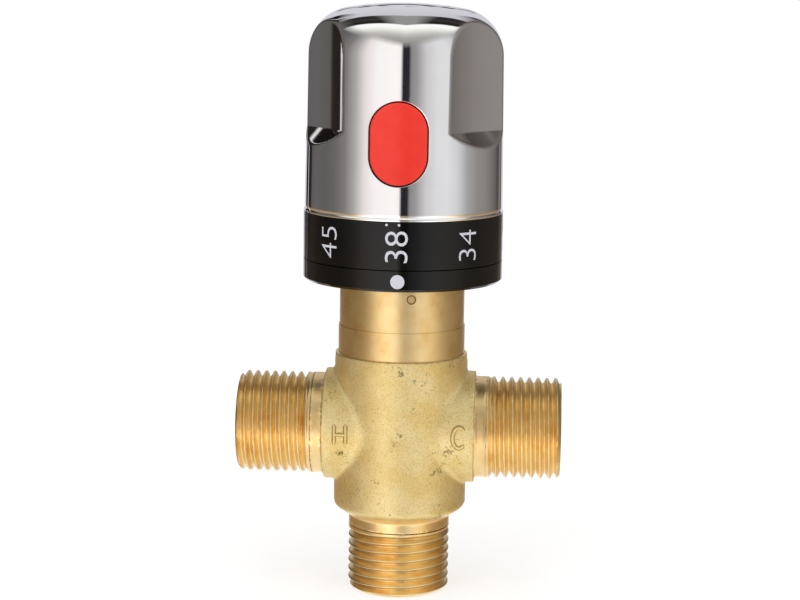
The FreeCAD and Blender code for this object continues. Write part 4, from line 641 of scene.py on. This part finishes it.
# One closed outline as radius and height: foot, wall, shoulder, crown, the cap's seat, the
# screw's well, the hub, the roof, and down the inside to the foot again.
lip = [(SKIRT_BORE + 0.15, KNOB_FOOT), (20.2, KNOB_FOOT), (20.31, 79.06), (20.34, 79.18),
       (20.32, 79.42), (20.2, 79.55), (20.1, 79.7)]
centre = wall_radius(wall_top) - SHOULDER * math.cos(taper)
shoulder = [(centre + SHOULDER * math.cos(t), SHOULDER_HEIGHT + SHOULDER * math.sin(t))
            for t in np.radians(np.linspace(0.91, 80.53, 54))]
crown = [(r, KNOB_TOP - CROWN + math.sqrt(CROWN ** 2 - r ** 2))
         for r in (11.2, 10.6, 10.0, 9.6, 9.3)]
well = [(9.16, 120.36), (9.08, 120.2), (CAP_SEAT_RADIUS, 119.9), (CAP_SEAT_RADIUS, CAP_SEAT),
        (WELL_RADIUS, CAP_SEAT), (WELL_RADIUS, WELL_FLOOR), (SCREW_HOLE, WELL_FLOOR),
        (SCREW_HOLE, HUB_ROOF), (HUB_BORE, HUB_ROOF), (HUB_BORE, HUB_FOOT),
        (HUB_RADIUS, HUB_FOOT), (HUB_RADIUS, 98.0), (HUB_RADIUS, ROOF), (11.0, ROOF),
        (15.0, 112.0)]
outside = lip + [(wall_radius(z), z) for z in heights] + shoulder + crown
radius, height = grid_of(outside, columns)
radius = soft_least(radius, scoop_face(around, height), EDGE_ROUND)
inner_height = np.repeat(heights[::-1, None], columns, 1)
inner_radius = np.minimum(LAND_BORE, SCOOP_BORE / np.cos(from_scoop(around)))
rising = np.clip((inner_height - SKIRT_END) / (LAND_START - SKIRT_END), 0, 1)
inner_radius = SKIRT_BORE + (inner_radius - SKIRT_BORE) * rising
well_radius, well_height = grid_of(well, columns)
well_radius[-1] = np.minimum(well_radius[-1], inner_radius[0])
first_wall, first_inner = len(lip), len(radius) + len(well)
last_inner = first_inner + len(heights) - 1
radius = np.vstack([radius, well_radius, inner_radius])
height = np.vstack([height, well_height, inner_height])
angle = np.radians(np.where(around > 180, around - 360, around))
side = radius * np.sin(angle)
# Behind the front land the inside runs square to the window, so that its tunnel is straight.
square = np.clip((30 - np.abs(np.degrees(angle))) / 6, 0, 1)
square = square * (np.arange(len(radius)) >= first_inner)[:, None]
side += square * (wall_radius(height) * np.sin(angle) - side)
front = np.sqrt(radius ** 2 - side ** 2)
points = np.stack([side, np.where(np.cos(angle) > 0, -front, front), height], -1)
quads = torus_faces(*radius.shape)

# The button's window is a slot cut straight through the front land, with a rounded lip.
WINDOW_HALF_WIDTH, WINDOW_HALF_HEIGHT, WINDOW_MIDDLE = 5.85, 8.3, 94.1
LIP, LIP_MIDDLE, CUT_BACK = 0.12, 0.293, 0.16


def from_window(x, z):
    """Distance outside the window's edge, and the way out of it, seen from the front."""
    straight = WINDOW_HALF_HEIGHT - WINDOW_HALF_WIDTH
    rise = z - WINDOW_MIDDLE - np.clip(z - WINDOW_MIDDLE, -straight, straight)
    size = np.maximum(np.hypot(x, rise), 1e-6)
    return size - WINDOW_HALF_WIDTH, x / size, rise / size


def beside_window(x, z, offset, wall):
    """The point in the wall, which has a radius at each height, off the window's edge."""
    gap, out_x, out_z = from_window(x, z)
    x, z = x - out_x * (gap - offset), z - out_z * (gap - offset)
    return x, -math.sqrt(wall(z) ** 2 - x ** 2), z


def inside_of(vertex):
    """The vertex of the inside that lies behind one of the outside wall."""
    row, column = divmod(vertex, columns)
    return (last_inner - (row - first_wall)) * columns + column


# Faces that reach the window go, from the outside and the inside, and leave a ragged edge.
points, cut = points.reshape(-1, 3), set()
for vertex in range(first_wall * columns, (first_wall + len(heights)) * columns):
    x, y, z = points[vertex]
    if y < 0 and from_window(x, z)[0] < LIP + CUT_BACK:
        cut |= {vertex, inside_of(vertex)}
kept = quads[~np.isin(quads, list(cut)).any(1)].tolist()
whole = len(kept)
sides = {}
for quad in kept:
    for a, b in zip(quad, quad[1:] + quad[:1]):
        sides[a] = sides.get(a, []) + [b]
        sides[b] = sides.get(b, []) + [a]
beside = {v: [n for n in set(near) if near.count(n) == 1] for v, near in sides.items()}
start = min(v for v, near in beside.items() if near)
loop = [start, beside[start][0]]
while start not in beside[loop[-1]] or len(loop) == 2:
    loop.append(next(n for n in beside[loop[-1]] if n != loop[-2]))

# That edge moves on to the window's outline, and a lip and a tunnel join outside and inside.
edge = [points[v].copy() for v in loop]
rims = [loop]
for offset, sink in ((LIP * LIP_MIDDLE, LIP * LIP_MIDDLE), (0.0, LIP)):
    rims.append(list(range(len(points), len(points) + len(loop))))
    added = [beside_window(x, z, offset, lambda level: wall_radius(level) - sink)
             for x, y, z in edge]
    points = np.concatenate([points, added])
rims.append([inside_of(v) for v in loop])
for outer, inner, (x, y, z) in zip(loop, rims[-1], edge):
    skirt = math.hypot(*points[inner][:2])
    points[outer] = beside_window(x, z, LIP, wall_radius)
    points[inner] = beside_window(x, z, 0.0, lambda level: LAND_BORE if z > LAND_START else skirt)
for upper, lower in zip(rims, rims[1:]):
    for k in range(len(loop)):
        after = (k + 1) % len(loop)
        kept.append([upper[after], upper[k], lower[k], lower[after]])
kept = np.array(kept)
# Faces inside the shell, and the tunnel's faces, whose dark grey paints the shade in the gap
# round the button.
unplated_and_gap_shade = (kept >= first_inner * columns).all(1) & (kept < len(quads)).all(1)
unplated_and_gap_shade[whole + 2 * len(loop):] = True
used, renumbered = np.unique(kept, return_inverse=True)
points, kept = points[used], renumbered.reshape(-1, 4)

# Bright chrome plate over ABS: a mirror, with only the slightest haze and orange peel.
chrome = clouded("bright_chrome_plate", 6, 1.0, "#fafafb", "#fdfdfe",
                 {"Metallic": 1.0}, gloss=(0.035, 0.045))

# Inside, the shell is unplated: dull dark grey ABS. In the window's tunnel the same dark grey is
# painted shade, the dark gap round the button.
unplated_abs_gap_shade = clouded("unplated_abs_painted_gap_shade", 0.8, 2.0, "#151414", "#201f1f",
                   {"Roughness": 0.6, "IOR": 1.45})
shell = make_piece("knob_shell_chromed", points, kept, "knob", "chrome", chrome, unplated_abs_gap_shade,
                   crease=20, stands_for=["knob_shell"])
shell.data.polygons.foreach_set("material_index", unplated_and_gap_shade.astype(np.int32))
dress(chrome, "top_cap")

# ---------------------------------------------------------------------------------------
# Button. Moulded in red ABS, it stands a third of a millimetre proud of the land and slides
# inwards to let the knob turn past the mark.
# ---------------------------------------------------------------------------------------
# Glossy red ABS: a bright orange-red with an even moulded gloss, clouded very faintly.
red_abs = clouded("glossy_red_abs", 10 / 3, 2.0, "#f5301f", "#fb3828",
                  {"Roughness": 0.3, "IOR": 1.5})
dress(red_abs, "button")

# ---------------------------------------------------------------------------------------
# Studio. A pale floor, a white room with two large soft boxes in front and a dark gap
# between them where the camera stands, and lamps for the shading of the plastic.
# ---------------------------------------------------------------------------------------
AIM = 3.5


def add_floor(radius=0.4):
    """A round pale floor that shows the object's shadow and goes over into the white room."""
    mesh = bpy.data.meshes.new("floor")
    turns = np.linspace(0, 2 * math.pi, 96, endpoint=False)
    rim = [(radius * math.cos(a), radius * math.sin(a), 0) for a in turns]
    mesh.from_pydata(rim, [], [list(range(len(rim)))])
    material = bpy.data.materials.new("pale_floor")
    material.use_nodes = True
    tree = material.node_tree
    tree.nodes.clear()
    matt = add_node(tree, "ShaderNodeBsdfDiffuse", {"Color": linear("#b8b8b8")})
    glow = add_node(tree, "ShaderNodeEmission", {"Strength": 0.6})
    both = add_node(tree, "ShaderNodeAddShader", links={0: matt.outputs[0], 1: glow.outputs[0]})
    rays = add_node(tree, "ShaderNodeLightPath")
    shown = add_node(tree, "ShaderNodeMath", {"operation": "MAXIMUM"},
                     {0: rays.outputs["Is Camera Ray"], 1: rays.outputs["Is Glossy Ray"]})
    mixed = add_node(tree, "ShaderNodeMixShader",
                     links={0: shown.outputs[0], 1: matt.outputs[0], 2: both.outputs[0]})
    add_node(tree, "ShaderNodeOutputMaterial", links={"Surface": mixed.outputs[0]})
    mesh.materials.append(material)
    floor = bpy.data.objects.new("floor", mesh)
    bpy.context.scene.collection.objects.link(floor)
    floor.visible_glossy = False
    floor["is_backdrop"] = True


add_floor()

# The room as chrome and brass mirror it, by direction: azimuth from the camera's side for
# level reflections, and the angle over the top from front to back for shoulder and crown.
world = bpy.data.worlds.new("studio")
bpy.context.scene.world = world
world.use_nodes = True
tree = world.node_tree
tree.nodes.clear()
seen = add_node(tree, "ShaderNodeTexCoord")
turned = add_node(tree, "ShaderNodeVectorRotate",
                  {"rotation_type": "Z_AXIS", "Angle": -math.radians(AIM)},
                  {"Vector": seen.outputs["Generated"]})
parts = add_node(tree, "ShaderNodeSeparateXYZ", links={0: turned.outputs[0]})
back = add_node(tree, "ShaderNodeMath", {"operation": "MULTIPLY", 1: -1.0},
                {0: parts.outputs["Y"]})
azimuth = add_node(tree, "ShaderNodeMath", {"operation": "ARCTAN2"},
                   {0: parts.outputs["X"], 1: back.outputs[0]})
azimuth = add_node(tree, "ShaderNodeMapRange", {FROM_LOW: -math.pi, FROM_HIGH: math.pi},
                   {0: azimuth.outputs[0]})
aside = add_node(tree, "ShaderNodeMath", {"operation": "ABSOLUTE"}, {0: parts.outputs["X"]})
nearer = add_node(tree, "ShaderNodeMath", {"operation": "MULTIPLY_ADD", 1: 0.5},
                  {0: aside.outputs[0], 2: back.outputs[0]})
over = add_node(tree, "ShaderNodeMath", {"operation": "ARCTAN2"},
                {0: parts.outputs["Z"], 1: nearer.outputs[0]})
over = add_node(tree, "ShaderNodeMapRange", {FROM_LOW: 0.0, FROM_HIGH: math.pi},
                {0: over.outputs[0]})


def by_degrees(low, high, stops):
    """Ramp stops from degrees."""
    return [((d - low) / (high - low), colour) for d, colour in stops]


# All the way round, in two ramps that meet in the dark gap where the camera stands: the left
# side with its soft box, then the right one, which is dimmer and further round.
LEFT_SIDE = by_degrees(-180, 180, [
    (-180, "#d0cfd6"), (-159, "#d0cfd6"), (-158, "#161212"), (-149, "#161212"),
    (-148.4, "#f4f4f4"), (-147.5, "#f4f4f4"), (-146.8, "#241e1b"), (-137, "#2a2421"),
    (-135.5, "#5a5955"), (-124, "#626060"), (-105, "#5f5c5b"), (-88, "#666564"),
    (-72, "#7f7b79"), (-59, "#acaaa8"), (-46, "#e8e0de"), (-33, "#fbf6f5"), (-10, "#fcf9f6"),
    (-5, "#f4f0ee"), (-3.5, "#252428"), (4, "#2b2a2f")])
RIGHT_SIDE = by_degrees(-180, 180, [
    (-180, "#000000"), (4, "#2b2a2f"), (6.5, "#8a8887"), (13, "#989696"), (25, "#cdcbcc"),
    (38, "#dddddd"), (51, "#dfdfe1"), (64, "#d0d0d1"), (78, "#a3a3a3"), (94, "#8c8884"),
    (108, "#88837f"), (118, "#7b7672"), (133, "#655f5c"), (142, "#45413e"), (146, "#77726e"),
    (153, "#7f7a76"), (154, "#1c1818"), (157, "#1c1818"), (158, "#d0cfd6"), (180, "#d0cfd6")])
SIDES_MEET = 184 / 360
left = add_node(tree, "ShaderNodeValToRGB", {"stops": LEFT_SIDE}, {0: azimuth.outputs[0]})
right = add_node(tree, "ShaderNodeValToRGB", {"stops": RIGHT_SIDE}, {0: azimuth.outputs[0]})
to_right = add_node(tree, "ShaderNodeMath", {"operation": "GREATER_THAN", 1: SIDES_MEET},
                    {0: azimuth.outputs[0]})
level = add_node(tree, "ShaderNodeMix", {"data_type": "RGBA"},
                 {AMOUNT: to_right.outputs[0], FIRST: left.outputs[0], SECOND: right.outputs[0]})

# Over the top: grey in front, a white ceiling panel, a dark gap and the pale back wall. The
# middle of the front is a little lighter.
OVER_TOP = by_degrees(0, 180, [
    (0, "#969593"), (36, "#9a9995"), (47, "#acaba7"), (56, "#c8c7c2"), (66, "#eeefe8"),
    (74, "#fffffd"), (81, "#fdfdfb"), (84, "#1f1c1b"), (90, "#242120"), (97, "#383533"),
    (104, "#2c2928"), (112, "#2a2624"), (115, "#c8c6cd"), (150, "#d0cfd6"), (180, "#d2d1d8")])
above = add_node(tree, "ShaderNodeValToRGB", {"stops": OVER_TOP}, {0: over.outputs[0]})
middle = add_node(tree, "ShaderNodeMapRange", {FROM_LOW: 0.27, FROM_HIGH: 0.1},
                  {0: aside.outputs[0]})
above = add_node(tree, "ShaderNodeMix",
                 {"data_type": "RGBA", "blend_type": "LIGHTEN", SECOND: linear("#929290")},
                 {AMOUNT: middle.outputs[0], FIRST: above.outputs[0]})

# The walls go over into the ceiling along a line that slants up towards the sides.
WALL_TOP, WALL_TOP_SLANT, WALL_TOP_BLUR = 0.38, 0.36, 0.22
slant = add_node(tree, "ShaderNodeMath",
                 {"operation": "MULTIPLY_ADD", 1: WALL_TOP_SLANT, 2: WALL_TOP},
                 {0: aside.outputs[0]})
high = add_node(tree, "ShaderNodeMath", {"operation": "SUBTRACT"},
                {0: parts.outputs["Z"], 1: slant.outputs[0]})
high = add_node(tree, "ShaderNodeMapRange", {FROM_LOW: 0.0, FROM_HIGH: WALL_TOP_BLUR},
                {0: high.outputs[0]})
room = add_node(tree, "ShaderNodeMix", {"data_type": "RGBA"},
                {AMOUNT: high.outputs[0], FIRST: level.outputs[2], SECOND: above.outputs[2]})

# Low down, the dim sides of the room are a warm brown, and the floor is a pale grey.
floorward = add_node(tree, "ShaderNodeMapRange", {FROM_LOW: -0.1, FROM_HIGH: -0.2},
                     {0: parts.outputs["Z"]})
sides = add_node(tree, "ShaderNodeMapRange", {FROM_LOW: 0.5, FROM_HIGH: 0.9},
                 {0: aside.outputs[0]})
sides = add_node(tree, "ShaderNodeMath", {"operation": "MULTIPLY"},
                 {0: sides.outputs[0], 1: floorward.outputs[0]})
low = add_node(tree, "ShaderNodeMapRange", {FROM_LOW: -0.5, FROM_HIGH: -0.75},
               {0: parts.outputs["Z"]})

# A thin dark rail behind the object, higher towards its ends, shows as a fine arc on the cap.
RAIL_HEIGHT, RAIL_SLANT, RAIL_HALF_THICK = 0.18, 0.42, 0.02
RAIL_BEHIND, RAIL_HALF_LONG = -0.85, 0.155
rise = add_node(tree, "ShaderNodeMath",
                {"operation": "MULTIPLY_ADD", 1: RAIL_SLANT, 2: RAIL_HEIGHT},
                {0: aside.outputs[0]})
rail = add_node(tree, "ShaderNodeMath", {"operation": "COMPARE", 2: RAIL_HALF_THICK},
                {0: parts.outputs["Z"], 1: rise.outputs[0]})
for bound, value in ((RAIL_BEHIND, back), (RAIL_HALF_LONG, aside)):
    within = add_node(tree, "ShaderNodeMath", {"operation": "LESS_THAN", 1: bound},
                      {0: value.outputs[0]})
    rail = add_node(tree, "ShaderNodeMath", {"operation": "MULTIPLY"},
                    {0: rail.outputs[0], 1: within.outputs[0]})
for blend, colour, amount in (("MULTIPLY", "#e2c68e", sides), ("LIGHTEN", "#7f6d58", floorward),
                              ("MIX", "#b4b4b4", low), ("MIX", "#1c1a1a", rail)):
    room = add_node(tree, "ShaderNodeMix",
                    {"data_type": "RGBA", "blend_type": blend, SECOND: linear(colour)},
                    {AMOUNT: amount.outputs[0], FIRST: room.outputs[2]})

# Mirrored rays see the room, brighter low down where the lit floor bounces; the camera sees
# plain white, and matt surfaces get an even white light.
bounce = add_node(tree, "ShaderNodeMapRange",
                  {FROM_LOW: -0.1, FROM_HIGH: -0.4, TO_LOW: 1.0, TO_HIGH: 2.2},
                  {0: parts.outputs["Z"]})
mirrored = add_node(tree, "ShaderNodeBackground",
                    links={"Color": room.outputs[2], "Strength": bounce.outputs[0]})
soft = add_node(tree, "ShaderNodeBackground", {"Color": (1, 1, 1, 1), "Strength": 0.75})
plain = add_node(tree, "ShaderNodeBackground", {"Color": (1, 1, 1, 1), "Strength": 1.0})
rays = add_node(tree, "ShaderNodeLightPath")
mix = add_node(tree, "ShaderNodeMixShader",
               links={0: rays.outputs["Is Glossy Ray"], 1: soft.outputs[0],
                      2: mirrored.outputs[0]})
mix = add_node(tree, "ShaderNodeMixShader",
               links={0: rays.outputs["Is Camera Ray"], 1: mix.outputs[0], 2: plain.outputs[0]})
add_node(tree, "ShaderNodeOutputWorld", links={"Surface": mix.outputs[0]})

# Three round soft lamps aim at the middle of the object. Chrome and gloss don't mirror them.
MIDDLE, LAMP_DISTANCE = Vector((0, 0, 0.06)), 0.7
for name, turn, rise, size, power in (("left_box", -38, 25, 0.5, 1.0),
                                      ("right_box", 42, 20, 0.45, 0.7),
                                      ("top_box", 0, 75, 0.5, 0.6)):
    lamp = bpy.data.lights.new(name, "AREA")
    lamp.shape, lamp.size, lamp.energy = "DISK", size, power
    stand = bpy.data.objects.new(name, lamp)
    turn, rise = math.radians(turn + AIM), math.radians(rise)
    way = Vector((math.sin(turn) * math.cos(rise), -math.cos(turn) * math.cos(rise),
                  math.sin(rise)))
    stand.location = MIDDLE + way * LAMP_DISTANCE
    stand.rotation_euler = way.to_track_quat("Z", "Y").to_euler()
    stand.visible_glossy = False
    bpy.context.scene.collection.objects.link(stand)

# The camera stands in front at the height of the knob's top, and looks slightly down.
CAMERA_PLACE = (-0.00044, -0.4126, 0.1266)
TILT, ROLL = math.radians(90 - 9.111), math.radians(0.862)
camera = bpy.data.cameras.new("camera")
camera.lens, camera.sensor_width = 91.35, 36.0
camera.clip_start, camera.clip_end = 0.01, 20
viewer = bpy.data.objects.new("camera", camera)
bpy.context.scene.collection.objects.link(viewer)
swing = Matrix.Rotation(math.radians(AIM), 4, "Z")
viewer.matrix_world = (swing @ Matrix.Translation(CAMERA_PLACE) @ Matrix.Rotation(TILT, 4, "X")
                       @ Matrix.Rotation(ROLL, 4, "Z"))
bpy.context.scene.camera = viewer
bpy.context.scene.view_settings.view_transform = "Standard"

[[list(corner) for corner in box] for box in (cad_box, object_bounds())]
